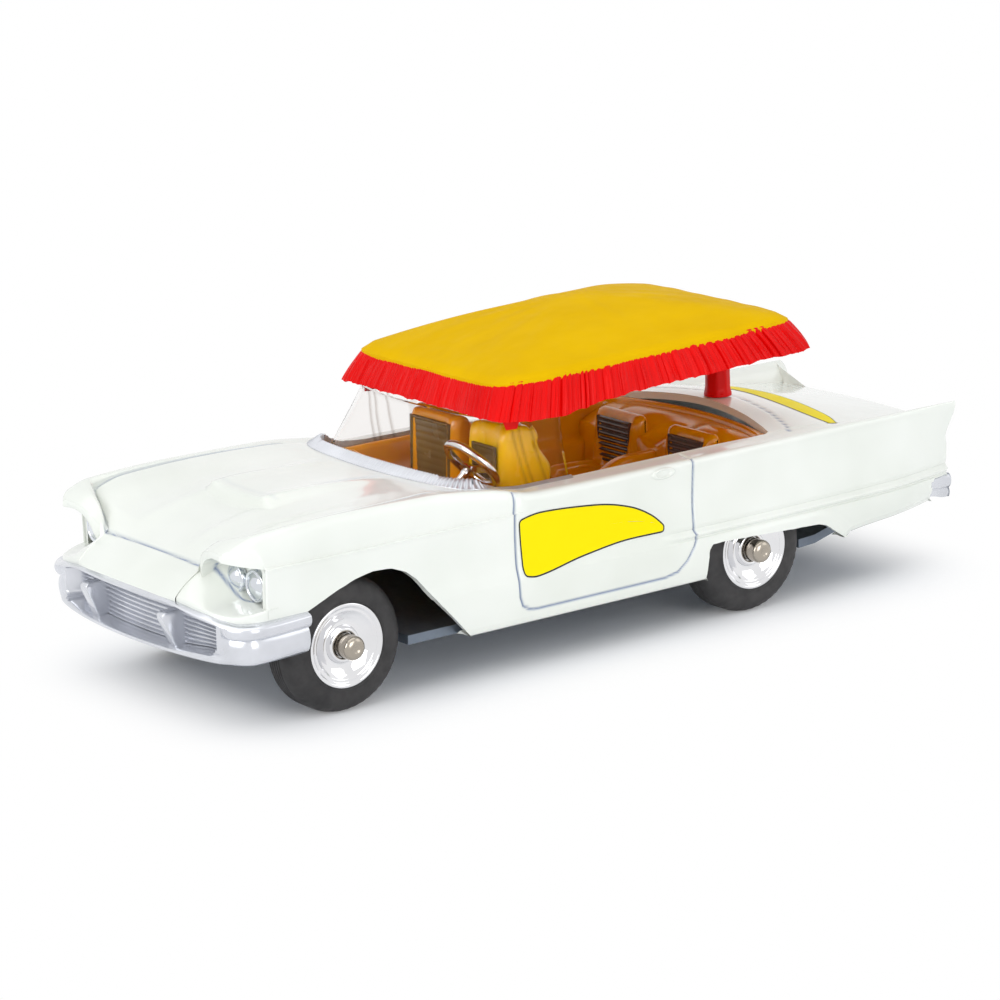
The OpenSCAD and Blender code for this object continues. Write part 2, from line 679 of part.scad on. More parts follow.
module base_plate() {
    saddle_y = 10.4;
    saddle = 1.4;
    flat_front_x = front_axle_x - 6;
    flat_rear_x = rear_axle_x - 11;
    tail_z = 7.4;
    kink_z = 6.6;
    front_z = 7.2;
    tip_z = 8;
    well = wheel_diameter + 2 * wheel_clearance + 1.2;
    color("slategray") difference() {
        union() {
            intersection() {
                rotate([90, 0, 0]) linear_extrude(60, center = true) polygon([
                    [tail_x + 4, tail_z], [flat_rear_x - 6, kink_z], [flat_rear_x, base_z],
                    [flat_front_x, base_z], [bumper_rear_x, front_z], [nose_x - 7, tip_z],
                    [nose_x - 7, tip_z + base_thickness], [bumper_rear_x, front_z + base_thickness],
                    [flat_front_x, base_z + base_thickness], [flat_rear_x, base_z + base_thickness],
                    [flat_rear_x - 6, kink_z + base_thickness], [tail_x + 4, tail_z + base_thickness]]);
                linear_extrude(40) difference() {
                    intersection() {
                        plan(3.6);
                        base_outline();
                    }
                    for (x = [front_axle_x, rear_axle_x]) for (s = [-1, 1])
                        translate([x, s * (well_inner_y + 10)]) square([well, 20.4], center = true);
                }
            }
            for (x = [front_axle_x, rear_axle_x]) for (s = [-1, 1])
                translate([x - 2, s * saddle_y - saddle / 2, base_z + 0.2])
                    cube([4, saddle, axle_z + axle_diameter / 2 + 0.7 - base_z - 0.2]);
        }
        for (x = [front_axle_x, rear_axle_x])
            translate([x, 0, axle_z]) rotate([90, 0, 0]) cylinder(d = axle_diameter + 0.1, h = 30, center = true);
        for (x = rivet_xs)
            translate([x, 0, base_z - 1]) cylinder(d = rivet_diameter + 0.2, h = 1.7);
    }
}

// along the car, the places of the two rivets
rivet_xs = [front_axle_x - 10, rear_axle_x - 8];

// round heads that lie in the base plate's counterbores
module base_rivets() {
    color("lightgray") for (x = rivet_xs)
        translate([x, 0, base_z + 0.1]) cylinder(d = rivet_diameter, h = 0.6);
}

body_shell();
base_plate();
base_rivets();
front_bumper();
grille();
rear_bumper();
headlamps_left();
headlamps_right();
tail_lamps_left();
tail_lamps_right();
windscreen();
interior_tub();
front_seat_left();
front_seat_right();
rear_seats();
front_seat_inserts();
rear_seat_inserts();
steering_wheel();
steering_column();
canopy_top();
canopy_fringe();
canopy_post();
front_axle();
rear_axle();
hub_front_left();
hub_front_right();
hub_rear_left();
hub_rear_right();
tyre_front_left();
tyre_front_right();
tyre_rear_left();
tyre_rear_right();
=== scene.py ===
"""Looks of the toy taxi cab: white enamel casting, plastic cabin, fringed canopy, plated wheels.

Everything is worked out in millimetres in the car's own frame (+X forward, +Y left, +Z up)
and scaled to metres as each mesh is made.
"""
import math

import bmesh
import bpy
import numpy as np
from mathutils import Matrix, Vector


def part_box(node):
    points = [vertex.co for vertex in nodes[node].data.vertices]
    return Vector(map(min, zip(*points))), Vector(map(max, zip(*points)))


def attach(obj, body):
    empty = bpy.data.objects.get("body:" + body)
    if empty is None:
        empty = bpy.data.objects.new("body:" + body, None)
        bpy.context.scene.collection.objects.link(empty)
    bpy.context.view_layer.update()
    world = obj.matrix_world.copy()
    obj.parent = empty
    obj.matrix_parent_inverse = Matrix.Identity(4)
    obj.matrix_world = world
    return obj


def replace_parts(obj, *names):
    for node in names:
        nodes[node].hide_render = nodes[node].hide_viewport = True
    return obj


MM = 0.001
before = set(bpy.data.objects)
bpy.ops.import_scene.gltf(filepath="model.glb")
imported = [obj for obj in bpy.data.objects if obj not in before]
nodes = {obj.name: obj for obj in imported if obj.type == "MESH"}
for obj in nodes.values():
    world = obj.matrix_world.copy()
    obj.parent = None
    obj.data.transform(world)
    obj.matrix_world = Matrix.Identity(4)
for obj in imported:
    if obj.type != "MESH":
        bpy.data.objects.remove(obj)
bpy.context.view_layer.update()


# ---------------------------------------------------------------- measures from the frame

def box_mm(node):
    """Lowest and highest corner of a CAD node in millimetres."""
    low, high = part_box(node)
    return np.array(low) / MM, np.array(high) / MM


NOSE = box_mm("front_bumper")[1][0]
TAIL = box_mm("rear_bumper")[0][0]
BODY_FRONT = box_mm("body_shell")[1][0]
HALF_BODY = box_mm("body_shell")[1][1]
CROWN_TOP = box_mm("body_shell")[1][2]
FRONT_AXLE = float(np.mean([box_mm("tyre_front_left")[k][0] for k in (0, 1)]))
REAR_AXLE = float(np.mean([box_mm("tyre_rear_left")[k][0] for k in (0, 1)]))
TYRE_RADIUS = box_mm("tyre_front_left")[1][2] / 2
HUB_FACE = box_mm("hub_front_left")[1][1]
BUMPER_LOW, BUMPER_TOP = box_mm("front_bumper")[0][2], box_mm("front_bumper")[1][2]
BUMPER_END = box_mm("front_bumper")[0][0]
HALF_BUMPER = box_mm("front_bumper")[1][1]
REAR_BUMPER_TOP = box_mm("rear_bumper")[1][2]
CABIN_FRONT = box_mm("interior_tub")[1][0] - 1.1
CABIN_REAR = box_mm("interior_tub")[0][0]
HALF_CABIN = box_mm("interior_tub")[1][1] + 0.1
TUB_TOP = box_mm("windscreen")[0][2]
SILL = 5.5
BELT = TUB_TOP + 0.3
CREASE = 17.3
FIN_TOP = 18.7
MOULDING = 11.2


# ---------------------------------------------------------------- small tools

def curve(table, x):
    """Smooth curve through the points of table, without overshoot."""
    t = np.array(table, float)
    xs, ys = t[:, 0], t[:, 1]
    step = np.diff(xs)
    rise = np.diff(ys) / step
    slope = np.zeros(len(xs))
    slope[1:-1] = np.where(rise[:-1] * rise[1:] > 0,
                           2 * rise[:-1] * rise[1:] / (rise[:-1] + rise[1:] + 1e-12), 0)
    slope[0], slope[-1] = rise[0], rise[-1]
    x = np.clip(x, xs[0], xs[-1])
    k = np.clip(np.searchsorted(xs, x, side="right") - 1, 0, len(xs) - 2)
    u = (x - xs[k]) / step[k]
    return (ys[k] * (1 - 3 * u**2 + 2 * u**3) + ys[k + 1] * (3 * u**2 - 2 * u**3)
            + slope[k] * step[k] * (u - 2 * u**2 + u**3) + slope[k + 1] * step[k] * (u**3 - u**2))


def ramp(x, a, b):
    """0 at a, 1 at b, smooth between."""
    u = np.clip((np.asarray(x, float) - a) / (b - a), 0, 1)
    return u * u * (3 - 2 * u)


def distance_to_path(px, py, path):
    """Distance of points to a polyline."""
    best = np.full(np.shape(px), 1e9)
    for (ax, ay), (bx, by) in zip(path[:-1], path[1:]):
        dx, dy = bx - ax, by - ay
        t = np.clip(((px - ax) * dx + (py - ay) * dy) / (dx * dx + dy * dy + 1e-12), 0, 1)
        best = np.minimum(best, np.hypot(px - ax - t * dx, py - ay - t * dy))
    return best


def inside_path(px, py, path):
    """True for points inside a closed polygon."""
    hit = np.zeros(np.shape(px), bool)
    pts = list(path)
    for (ax, ay), (bx, by) in zip(pts, pts[1:] + pts[:1]):
        cross = ((ay > py) != (by > py))
        where = ax + (py - ay) * (bx - ax) / ((by - ay) if abs(by - ay) > 1e-12 else 1e-12)
        hit ^= cross & (px < where)
    return hit


def signed_distance(px, py, path):
    """Distance to a closed polygon's edge, negative inside it."""
    pts = list(path)
    d = distance_to_path(px, py, pts + pts[:1])
    return np.where(inside_path(px, py, pts), -d, d)


def rounded(path, radius, steps=5):
    """A closed polygon with its corners rounded."""
    pts = [np.array(p, float) for p in path]
    out = []
    for a, b, c in zip(pts[-1:] + pts[:-1], pts, pts[1:] + pts[:1]):
        u, v = a - b, c - b
        lu, lv = np.linalg.norm(u), np.linalg.norm(v)
        cut = min(radius, lu * 0.45, lv * 0.45)
        p, q = b + u / lu * cut, b + v / lv * cut
        for k in range(steps + 1):
            t = k / steps
            out.append(tuple((1 - t)**2 * p + 2 * t * (1 - t) * b + t * t * q))
    return out


def make_object(name, verts, faces, body="car", material=None, smooth=True, sharp=None):
    """A mesh piece from points in millimetres, riding on a body."""
    mesh = bpy.data.meshes.new(name)
    mesh.from_pydata((np.asarray(verts, float) * MM).tolist(), [], [list(map(int, f)) for f in faces])
    mesh.validate()
    obj = bpy.data.objects.new(name, mesh)
    bpy.context.scene.collection.objects.link(obj)
    finish_mesh(obj, smooth, sharp)
    if material:
        mesh.materials.append(material)
    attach(obj, body)
    return obj


def finish_mesh(obj, smooth=True, sharp=None, merge=0.004):
    """Outward normals, shared points merged, smooth shading up to an angle."""
    bm = bmesh.new()
    bm.from_mesh(obj.data)
    bmesh.ops.remove_doubles(bm, verts=bm.verts, dist=merge * MM)
    bmesh.ops.dissolve_degenerate(bm, edges=bm.edges, dist=merge * MM)
    bmesh.ops.recalc_face_normals(bm, faces=bm.faces)
    for f in bm.faces:
        f.smooth = smooth
    if smooth and sharp:
        limit = math.radians(sharp)
        for e in bm.edges:
            if len(e.link_faces) == 2 and e.calc_face_angle(0) > limit:
                e.smooth = False
    bm.to_mesh(obj.data)
    bm.free()


def grid_faces(rows, cols, close_rows=False, close_cols=False, start=0):
    """Quads of a grid of points, row by row."""
    faces = []
    for i in range(rows if close_rows else rows - 1):
        for j in range(cols if close_cols else cols - 1):
            a = start + i * cols + j
            b = start + i * cols + (j + 1) % cols
            c = start + (i + 1) % rows * cols + (j + 1) % cols
            d = start + (i + 1) % rows * cols + j
            faces.append((a, b, c, d))
    return faces


def revolve(name, profile, centre, side, body, material, steps=96, sharp=None, closed=True):
    """A turned piece on the Y axis: profile is (radius, distance out from the centre plane)."""
    rows = len(profile)
    verts = []
    for k in range(steps):
        a = 2 * math.pi * k / steps
        for r, out in profile:
            verts.append((centre[0] + r * math.cos(a), side * out, centre[2] + r * math.sin(a)))
    faces = grid_faces(steps, rows, close_rows=True, close_cols=closed)
    return make_object(name, verts, faces, body, material, sharp=sharp)


def join(objs, name):
    """Several new meshes as one piece."""
    verts, faces, mats, index = [], [], [], []
    for o in objs:
        start = len(verts)
        verts += [tuple(v.co) for v in o.data.vertices]
        for m in o.data.materials:
            if m not in mats:
                mats.append(m)
        for p in o.data.polygons:
            faces.append(tuple(start + v for v in p.vertices))
            index.append((mats.index(o.data.materials[p.material_index]) if o.data.materials else 0,
                          p.use_smooth))
    keep = objs[0]
    mesh = bpy.data.meshes.new(name)
    mesh.from_pydata(verts, [], faces)
    for m in mats:
        mesh.materials.append(m)
    for p, (k, s) in zip(mesh.polygons, index):
        p.material_index = k
        p.use_smooth = s
    keep.data = mesh
    keep.name = name
    for o in objs[1:]:
        bpy.data.objects.remove(o)
    return keep


# ---------------------------------------------------------------- materials

class Nodes:
    """Short way to build a node material."""

    def __init__(self, name):
        self.material = bpy.data.materials.new(name)
        self.material.use_nodes = True
        self.tree = self.material.node_tree
        self.shader = self.tree.nodes["Principled BSDF"]
        self.coord = self.add("ShaderNodeTexCoord").outputs["Object"]

    def add(self, kind, inputs=None, **props):
        node = self.tree.nodes.new(kind)
        for k, v in props.items():
            setattr(node, k, v)
        for k, v in (inputs or {}).items():
            self.put(node.inputs[k], v)
        return node

    def put(self, socket, value):
        if isinstance(value, bpy.types.NodeSocket):
            self.tree.links.new(value, socket)
        else:
            socket.default_value = value

    def set(self, **values):
        for k, v in values.items():
            self.put(self.shader.inputs[k.replace("_", " ")], v)

    def noise(self, scale, detail=3.0, rough=0.5, stretch=(1, 1, 1)):
        place = self.add("ShaderNodeMapping", {"Vector": self.coord, "Scale": stretch})
        return self.add("ShaderNodeTexNoise", {"Vector": place.outputs[0], "Scale": scale,
                                               "Detail": detail, "Roughness": rough}).outputs["Fac"]

    def between(self, factor, low, high):
        return self.add("ShaderNodeMapRange", {"Value": factor, "From Min": 0.3, "From Max": 0.7,
                                               "To Min": low, "To Max": high}).outputs[0]

    def mix(self, factor, a, b):
        node = self.add("ShaderNodeMix", data_type="RGBA")
        self.put(node.inputs[0], factor)
        self.put(node.inputs[6], a)
        self.put(node.inputs[7], b)
        return node.outputs[2]

    def bump(self, height, strength, distance, normal=None):
        node = self.add("ShaderNodeBump", {"Height": height, "Strength": strength, "Distance": distance})
        if normal is not None:
            self.put(node.inputs["Normal"], normal)
        self.put(self.shader.inputs["Normal"], node.outputs[0])
        return node.outputs[0]


def rgb(r, g, b, a=1.0):
    """A colour given as 0 to 255 screen values."""
    lin = [(c / 255 / 12.92) if c / 255 <= 0.04045 else ((c / 255 + 0.055) / 1.055)**2.4 for c in (r, g, b)]
    return (*lin, a)


def enamel(name="body_paint", tone=(238, 240, 233), shade=(228, 231, 222)):
    """Thick glossy enamel over a casting: faint colour drift, orange peel, and grey-blue painted shade in its
    engraved lines.
    """
    m = Nodes(name)
    drift = m.noise(90, 2, 0.5)
    # painted shade: where the 'groove' attribute marks an engraved line, the colour turns grey-blue
    groove = m.add("ShaderNodeAttribute", attribute_name="groove").outputs["Fac"]
    groove_painted_shade = m.add("ShaderNodeMath", {0: groove, 1: 1.1}, operation="MULTIPLY", use_clamp=True).outputs[0]
    coat = m.mix(m.between(drift, 0, 1), rgb(*tone), rgb(*shade))
    m.set(Base_Color=m.mix(groove_painted_shade, coat, rgb(134, 148, 176)),
          Roughness=m.between(m.noise(700, 2), 0.14, 0.22), Metallic=0.0)
    m.shader.inputs["Coat Weight"].default_value = 0.6
    m.shader.inputs["Coat Roughness"].default_value = 0.06
    m.bump(m.noise(450, 2, 0.4), 0.12, 0.00004, None)
    return m.material


def silver_paint(name, tone=(222, 224, 230), rough=(0.16, 0.24), grain=5200):
    """Fine aluminium paint: sparkling grain and soft unevenness."""
    m = Nodes(name)
    fleck = m.noise(grain, 2, 0.7)
    cloud = m.noise(160, 3, 0.6)
    dark = tuple(int(c * 0.93) for c in tone)
    m.set(Base_Color=m.mix(m.between(cloud, 0, 1), rgb(*dark), rgb(*tone)),
          Roughness=m.between(fleck, *rough), Metallic=0.72)
    m.bump(fleck, 0.05, 0.00003)
    return m.material


def plating(name, tone=(236, 236, 238), rough=(0.03, 0.07), metallic=1.0):
    """Bright plating with faint turning marks and tiny pits."""
    m = Nodes(name)
    m.set(Base_Color=m.mix(m.between(m.noise(120, 2), 0, 1), rgb(*tone), rgb(*[int(c * 0.94) for c in tone])),
          Roughness=m.between(m.noise(900, 3), *rough), Metallic=metallic)
    m.bump(m.noise(1100, 2), 0.04, 0.00002)
    return m.material


def plastic(name, tone, shade, rough=(0.18, 0.3), bump=0.05, grain=500, through=0.0, drift=110, shine=0.5):
    """Moulded plastic with slight flow marks."""
    m = Nodes(name)
    flow = m.noise(drift, 3, 0.55, (1, 2.2, 1))
    m.set(Base_Color=m.mix(m.between(flow, 0, 1), rgb(*tone), rgb(*shade)),
          Roughness=m.between(m.noise(grain, 2), *rough))
    if through:
        m.shader.inputs["Subsurface Weight"].default_value = through
        m.shader.inputs["Subsurface Scale"].default_value = 0.0012
        m.shader.inputs["Subsurface Radius"].default_value = (1.0, 0.45, 0.15)
    m.shader.inputs["Specular IOR Level"].default_value = shine
    m.bump(m.noise(grain * 2, 3), bump, 0.00005)
    return m.material


def rubber(name="tyre_rubber"):
    """Black rubber with moulding marks and a little bloom."""
    m = Nodes(name)
    bloom = m.noise(260, 4, 0.65)
    m.set(Base_Color=m.mix(m.between(bloom, 0, 1), rgb(34, 33, 34), rgb(56, 54, 54)),
          Roughness=m.between(m.noise(900, 3), 0.5, 0.72))
    m.bump(m.noise(1500, 3, 0.6), 0.22, 0.00006)
    return m.material


def clear_plastic(name="clear_plastic"):
    """Thin clear polystyrene, darkened to a warm grey along its pillar bars and edges as painted shade for
    the light bent in them.
    """
    m = Nodes(name)
    # painted shade: where the 'line' attribute marks a pillar bar or edge, the clear colour turns warm grey
    line = m.add("ShaderNodeAttribute", attribute_name="line").outputs["Fac"]
    clear = m.mix(m.between(m.noise(60, 2), 0, 1), rgb(252, 251, 250), rgb(247, 245, 244))
    m.set(Base_Color=m.mix(line, clear, rgb(168, 158, 152)), Roughness=m.between(m.noise(300, 2), 0.01, 0.04))
    m.shader.inputs["Transmission Weight"].default_value = 1.0
    m.shader.inputs["IOR"].default_value = 1.12
    return m.material


# ---------------------------------------------------------------- lines of the body

SIDE_Y = [(TAIL, HALF_BODY - 3.7), (TAIL + 4, HALF_BODY - 2.5), (TAIL + 14, HALF_BODY - 0.8),
          (REAR_AXLE, HALF_BODY - 0.2), (0, HALF_BODY - 0.05), (FRONT_AXLE - 6, HALF_BODY - 0.05),
          (NOSE - 12, HALF_BODY - 0.2), (NOSE - 7, HALF_BODY - 0.15), (NOSE, HALF_BODY - 0.9)]
LOW_Z = [(TAIL, 8.6), (TAIL + 6, 7.7), (REAR_AXLE - 14, 6.9), (REAR_AXLE - 11.5, SILL + 0.6),
         (REAR_AXLE - 8, SILL), (FRONT_AXLE - 12, SILL), (FRONT_AXLE + 4, 8), (NOSE, 9)]
CREASE_Z = [(TAIL, FIN_TOP - 0.4), (TAIL + 9, FIN_TOP - 0.6), (REAR_AXLE - 10, BELT - 1.1),
            (REAR_AXLE + 8, BELT - 1.1), (REAR_AXLE + 22, BELT - 1.2), (CABIN_FRONT - 4.5, CREASE + 0.1),
            (FRONT_AXLE, CREASE), (NOSE - 7, CREASE + 0.15), (NOSE, CREASE)]
CREASE_Y = [(TAIL, HALF_BODY - 2.95), (TAIL + 8, HALF_BODY - 2.7), (REAR_AXLE, HALF_BODY - 1.55),
            (0, HALF_BODY - 0.95), (FRONT_AXLE, HALF_BODY - 0.6), (NOSE - 7, HALF_BODY - 0.3),
            (NOSE, HALF_BODY - 1.2)]
CROWN_Z = [(TAIL, FIN_TOP + 0.15), (TAIL + 9, FIN_TOP + 0.15), (REAR_AXLE - 10, BELT - 0.1),
           (REAR_AXLE + 10, BELT), (CABIN_FRONT - 8, BELT + 0.1), (CABIN_FRONT - 2, CROWN_TOP - 0.9),
           (CABIN_FRONT + 6, CROWN_TOP - 0.12), (FRONT_AXLE, CROWN_TOP - 0.02), (NOSE - 7, CROWN_TOP - 0.42),
           (NOSE - 5, CROWN_TOP - 1.0), (NOSE - 3.6, CROWN_TOP - 1.75), (NOSE - 2.5, CROWN_TOP - 2.5),
           (NOSE, CROWN_TOP - 4.2)]
CROWN_Y = [(TAIL, HALF_BODY - 3.1), (TAIL + 9, HALF_BODY - 3.2), (REAR_AXLE, HALF_BODY - 2.5),
           (0, HALF_BODY - 2.1), (FRONT_AXLE, HALF_BODY - 2.1), (NOSE - 6, HALF_BODY - 2.3),
           (NOSE, HALF_BODY - 3)]
SHUT_Y = [(TAIL, HALF_BODY - 5.0), (TAIL + 9, HALF_BODY - 4.6), (REAR_AXLE, HALF_BODY - 4.1),
          (0, HALF_BODY - 3.9), (CABIN_FRONT - 2, HALF_BODY - 3.9), (CABIN_FRONT + 4, HALF_BODY - 3.7),
          (CABIN_FRONT + 11, HALF_BODY - 3.0), (FRONT_AXLE, HALF_BODY - 2.9), (NOSE - 11, HALF_BODY - 3.0),
          (NOSE - 7, HALF_BODY - 3.3), (NOSE - 6, HALF_BODY - 6), (NOSE - 4.9, HALF_BODY - 8.9),
          (NOSE, HALF_BODY - 8.9)]
SHUT_Z = [(TAIL, FIN_TOP - 2.5), (TAIL + 12, FIN_TOP - 0.9), (REAR_AXLE - 8, BELT + 0.25),
          (CABIN_FRONT - 8, BELT + 0.1), (CABIN_FRONT, CROWN_TOP - 0.8), (CABIN_FRONT + 6, CROWN_TOP - 0.16),
          (FRONT_AXLE - 4, CROWN_TOP - 0.14), (NOSE - 11, CROWN_TOP - 0.45), (NOSE - 7, CROWN_TOP - 1.5),
          (NOSE - 6, CREASE + 0.9), (NOSE - 4.9, CREASE - 0.7), (NOSE - 3, CREASE - 1.9),
          (NOSE - 1.6, CREASE - 3.1), (NOSE - 0.6, CREASE - 4.2)]
CENTRE_Z = [(TAIL, FIN_TOP - 2.3), (TAIL + 8, FIN_TOP - 0.7), (TAIL + 18, BELT + 0.7),
            (REAR_AXLE - 8, BELT + 1.4), (0, BELT + 1.2), (CABIN_FRONT + 3, CROWN_TOP - 0.6),
            (FRONT_AXLE, CROWN_TOP - 1.25), (NOSE - 10, CROWN_TOP - 2.5), (NOSE - 4.9, CREASE - 0.5),
            (NOSE - 3, CREASE - 1.6), (NOSE - 1.6, CREASE - 2.8), (NOSE - 0.6, CREASE - 4.0)]


POD_EDGE = NOSE - 7.0


def front_edge(y):
    """Front of the body at y, seen from above."""
    t = np.abs(y) / (HALF_BODY - 0.4)
    return np.maximum(BODY_FRONT + 0.5 - 2.5 * t**2 - 4.5 * np.minimum(t, 1.05)**12, POD_EDGE)


def tail_edge(y, z):
    """Rear of the body: the fins reach back, with a notch below their tips."""
    lean = 1.0 * ramp(z, 18.2, 15.2) + 0.3 * np.exp(-((z - 14.9) / 0.7)**2) + 0.25 * ramp(z, 12.2, 10.8)
    middle = 1.2 * (1 - ramp(np.abs(y), 11.5, 14.5))
    return TAIL + 0.95 + np.maximum(lean * ramp(np.abs(y), 10, 13.5), middle)


SCOOP_EDGE = 36.9


def scoop_front(y):
    return SCOOP_EDGE + 0.25 + 1.35 * (1 - np.clip(np.abs(y) / 6.0, 0, 1)**2)


def scoop_height(x, y):
    """Rise of the bonnet scoop above the bonnet: a lens-shaped mouth, then a long fade to the rear."""
    along = ramp(x, scoop_front(y), SCOOP_EDGE) * (1 - ramp(x, 36.3, 22))
    across = 1 - ramp(np.abs(y), 4.6, 6.3)
    line = 0.12 * np.exp(-((x - SCOOP_EDGE + 0.8) / 0.15)**2)
    return along * across - line * (1 - ramp(np.abs(y), 4.8, 5.8))


def bonnet_dish(x, y):
    """Shallow valleys of the bonnet on both sides of its raised middle."""
    strength = ramp(x, 22, 34) * (1 - ramp(x, 43, 48))
    ridge = 0.22 * np.exp(-((np.abs(y) - 5.2) / 1.3)**2) * ramp(x, 21, 25) * (1 - ramp(x, 44, 47.5))
    return ridge - 0.35 * strength * np.exp(-((np.abs(y) - 9.8) / 2.6)**2)


def section(x):
    """Half sections at each x of the array: arrays (points, stations) of y and z, and the
    index of the point on the shut line of the bonnet."""
    side, low = curve(SIDE_Y, x), curve(LOW_Z, x)
    cy, cz = curve(CREASE_Y, x), curve(CREASE_Z, x)
    ky, kz = curve(CROWN_Y, x), np.maximum(curve(CROWN_Z, x), 0)
    ey, ez = curve(SHUT_Y, x), curve(SHUT_Z, x)
    mz = curve(CENTRE_Z, x)
    strip = 1 - ramp(x, -9, -4.5)
    fender = ramp(x, 12.5, 14.5)
    ys, zs = [], []

    def put(y, z):
        ys.append(np.broadcast_to(y, x.shape).astype(float))
        zs.append(np.broadcast_to(z, x.shape).astype(float))

    # underside lip and the rolled edge of the sill
    put(side - 1.7, low + 0.5)
    put(side - 1.3, low + 0.08)
    put(side - 0.85, low)
    put(side - 0.5, low + 0.08)
    put(side - 0.32, low + 0.28)
    put(side - 0.28, low + 0.55)
    # door and quarter below the moulding, with a soft bulge
    for t in np.linspace(0.0, 1, 27)[1:]:
        z = low + 0.55 + (MOULDING - 0.75 - low - 0.55) * t
        put(side - 0.28 + 0.30 * math.sin(math.pi * min(1, t * 0.62 + 0.06)), z)
    base_y = side - 0.28 + 0.30 * math.sin(math.pi * 0.68)
    # moulding: a half-round strip between two fine grooves
    top_y = side - 0.32
    for t in np.linspace(0, 1, 13)[1:]:
        z = MOULDING - 0.75 + 1.25 * t
        flat = base_y + (top_y - base_y) * t
        bead = 0.30 * math.exp(-((t - 0.5) / 0.2)**2) - 0.13 * math.exp(-((t - 0.12) / 0.09)**2) \
            - 0.13 * math.exp(-((t - 0.9) / 0.09)**2)
        put(flat + bead * strip, z)
    # side up to the crease, a little hollow
    for t in np.linspace(0, 1, 13)[1:]:
        z = MOULDING + 0.5 + (cz - MOULDING - 0.5) * t
        put(top_y + (cy - top_y) * t - 0.10 * math.sin(math.pi * t), z)
    # crease: a fine step inwards on the front fender
    put(cy + 0.02 * fender, cz + 0.06)
    put(cy - 0.05 * fender, cz + 0.12)
    put(cy - 0.30 * fender, cz + 0.15)
    put(cy - 0.34 * fender, cz + 0.22)
    # shoulder, rounded up to the crown
    tight = 0.62 + 0.38 * fender
    for t in np.linspace(0, 1, 17)[1:]:
        a = math.pi / 2 * t
        put(ky + (cy - 0.34 * fender - ky) * np.power(max(math.cos(a), 0), tight) if t < 1 else ky,
            cz + 0.22 + (kz - cz - 0.22) * np.power(math.sin(a), 0.9 + 0.1 * fender))
    # crown in to the shut line, steeper over the headlamps
    steep = ramp(x, 43, 47)
    for t in np.linspace(0, 1, 9)[1:]:
        w = 1 - (1 - t)**1.3
        fall = (0.35 * t + 0.65 * t * t) * (1 - steep) + (0.1 * t + 0.9 * t**3.2) * steep
        put(ky + (ey - ky) * w, kz + (ez - kz) * fall)
    shut = len(ys) - 1
    # bonnet or deck in to the middle, closer together near the shut line
    steps = np.concatenate([np.arange(1, 7) * 0.011, np.linspace(0.085, 0.42, 24), np.linspace(0.45, 1, 22)])
    for w in steps:
        y = ey * (1 - w)
        put(y, mz + (ez - mz) * (1 - w)**1.7)
    ys, zs = np.array(ys), np.array(zs)
    zs += np.where(np.arange(len(ys))[:, None] > shut,
                   (scoop_height(x[None], ys) + bonnet_dish(x[None], ys)), 0)
    return ys, zs, shut


def stations():
    """Places along the car, closer together where there is fine detail."""
    marks = [(TAIL, -40, 0.5), (-40, -33, 0.5), (-33, -27, 0.35), (-27, -12.6, 0.55), (-12.6, -11.4, 0.2),
             (-11.4, -9.2, 0.14), (-9.2, -5.2, 0.16), (-5.2, 3.0, 0.6), (3.0, 4.4, 0.25), (4.4, 13.4, 0.6),
             (13.4, 14.7, 0.1),
             (14.7, 22.4, 0.45), (22.4, 36.5, 0.6), (36.5, 40.6, 0.2), (40.6, 44.4, 0.4), (44.4, 49.4, 0.17),
             (49.4, NOSE - 0.2, 0.3)]
    xs = []
    for a, b, step in marks:
        n = max(1, int(round((b - a) / step)))
        xs += list(np.linspace(a, b, n, endpoint=False))
    return np.array(xs + [NOSE - 0.2])


DECK_SEAM = [(-30.2, 0), (-30.4, 1.5), (-30.0, 4.5), (-29.0, 9.0), (-27.6, 13.1), (-26.9, 14.6)]

# the door's shut line and the sill line, in side view
DOOR_FRONT = 14.0
FENDER_FOOT = 12.1
DOOR_LINE = [(DOOR_FRONT - 0.6, BELT + 1.6), (DOOR_FRONT - 0.1, 17.2), (DOOR_FRONT + 0.15, 12),
             (DOOR_FRONT, 8.6),
             (DOOR_FRONT - 0.35, 7.6), (DOOR_FRONT - 1.3, 7.05), (DOOR_FRONT - 2.4, 6.95), (-5.8, 6.95),
             (-7.6, 7.3), (-8.9, 8.3), (-9.9, 9.7), (-10.3, 10.6), (-10.1, 11.2), (-10.3, 14),
             (-11.0, BELT + 0.4)]
FRONT_ARCH = [(19.0, -2), (19.9, 5.0), (21.0, 6.2), (24.5, 10.0), (27.0, 13.0), (28.4, 14.1), (30.2, 14.8),
              (32.5, 14.9),
              (34.6, 14.5), (37.0, 13.7), (39.0, 12.9), (40.5, 12.3), (41.2, FENDER_FOOT),
              (70, FENDER_FOOT), (70, -2)]
REAR_ARCH = [(-11.7, -2), (-11.75, 5.6), (-12.05, 8.9), (-12.5, 9.5), (-14, 9.6), (-28.0, 8.95), (-29.2, 8.6),
             (-31.2, 7.3), (-32.6, 6.4), (-33.4, 4), (-33.4, -2)]
REAR_CUT = [(-46.6, -2), (-46.9, 7.2), (-47.6, REAR_BUMPER_TOP), (-70, REAR_BUMPER_TOP), (-70, -2)]


def cabin_outline(grow=0.0):
    """Opening of the cabin seen from above."""
    hw = HALF_CABIN + grow
    front = [(CABIN_FRONT + 1.2 + grow - 1.6 * abs(a)**3, a * hw) for a in np.linspace(-1, 1, 25)]
    rear = [(CABIN_REAR - 0.1 + 2.6 - grow - 2.6 * (1 - a * a), a * hw) for a in np.linspace(1, -1, 25)]
    return rounded(front + rear, 1.2, 3)


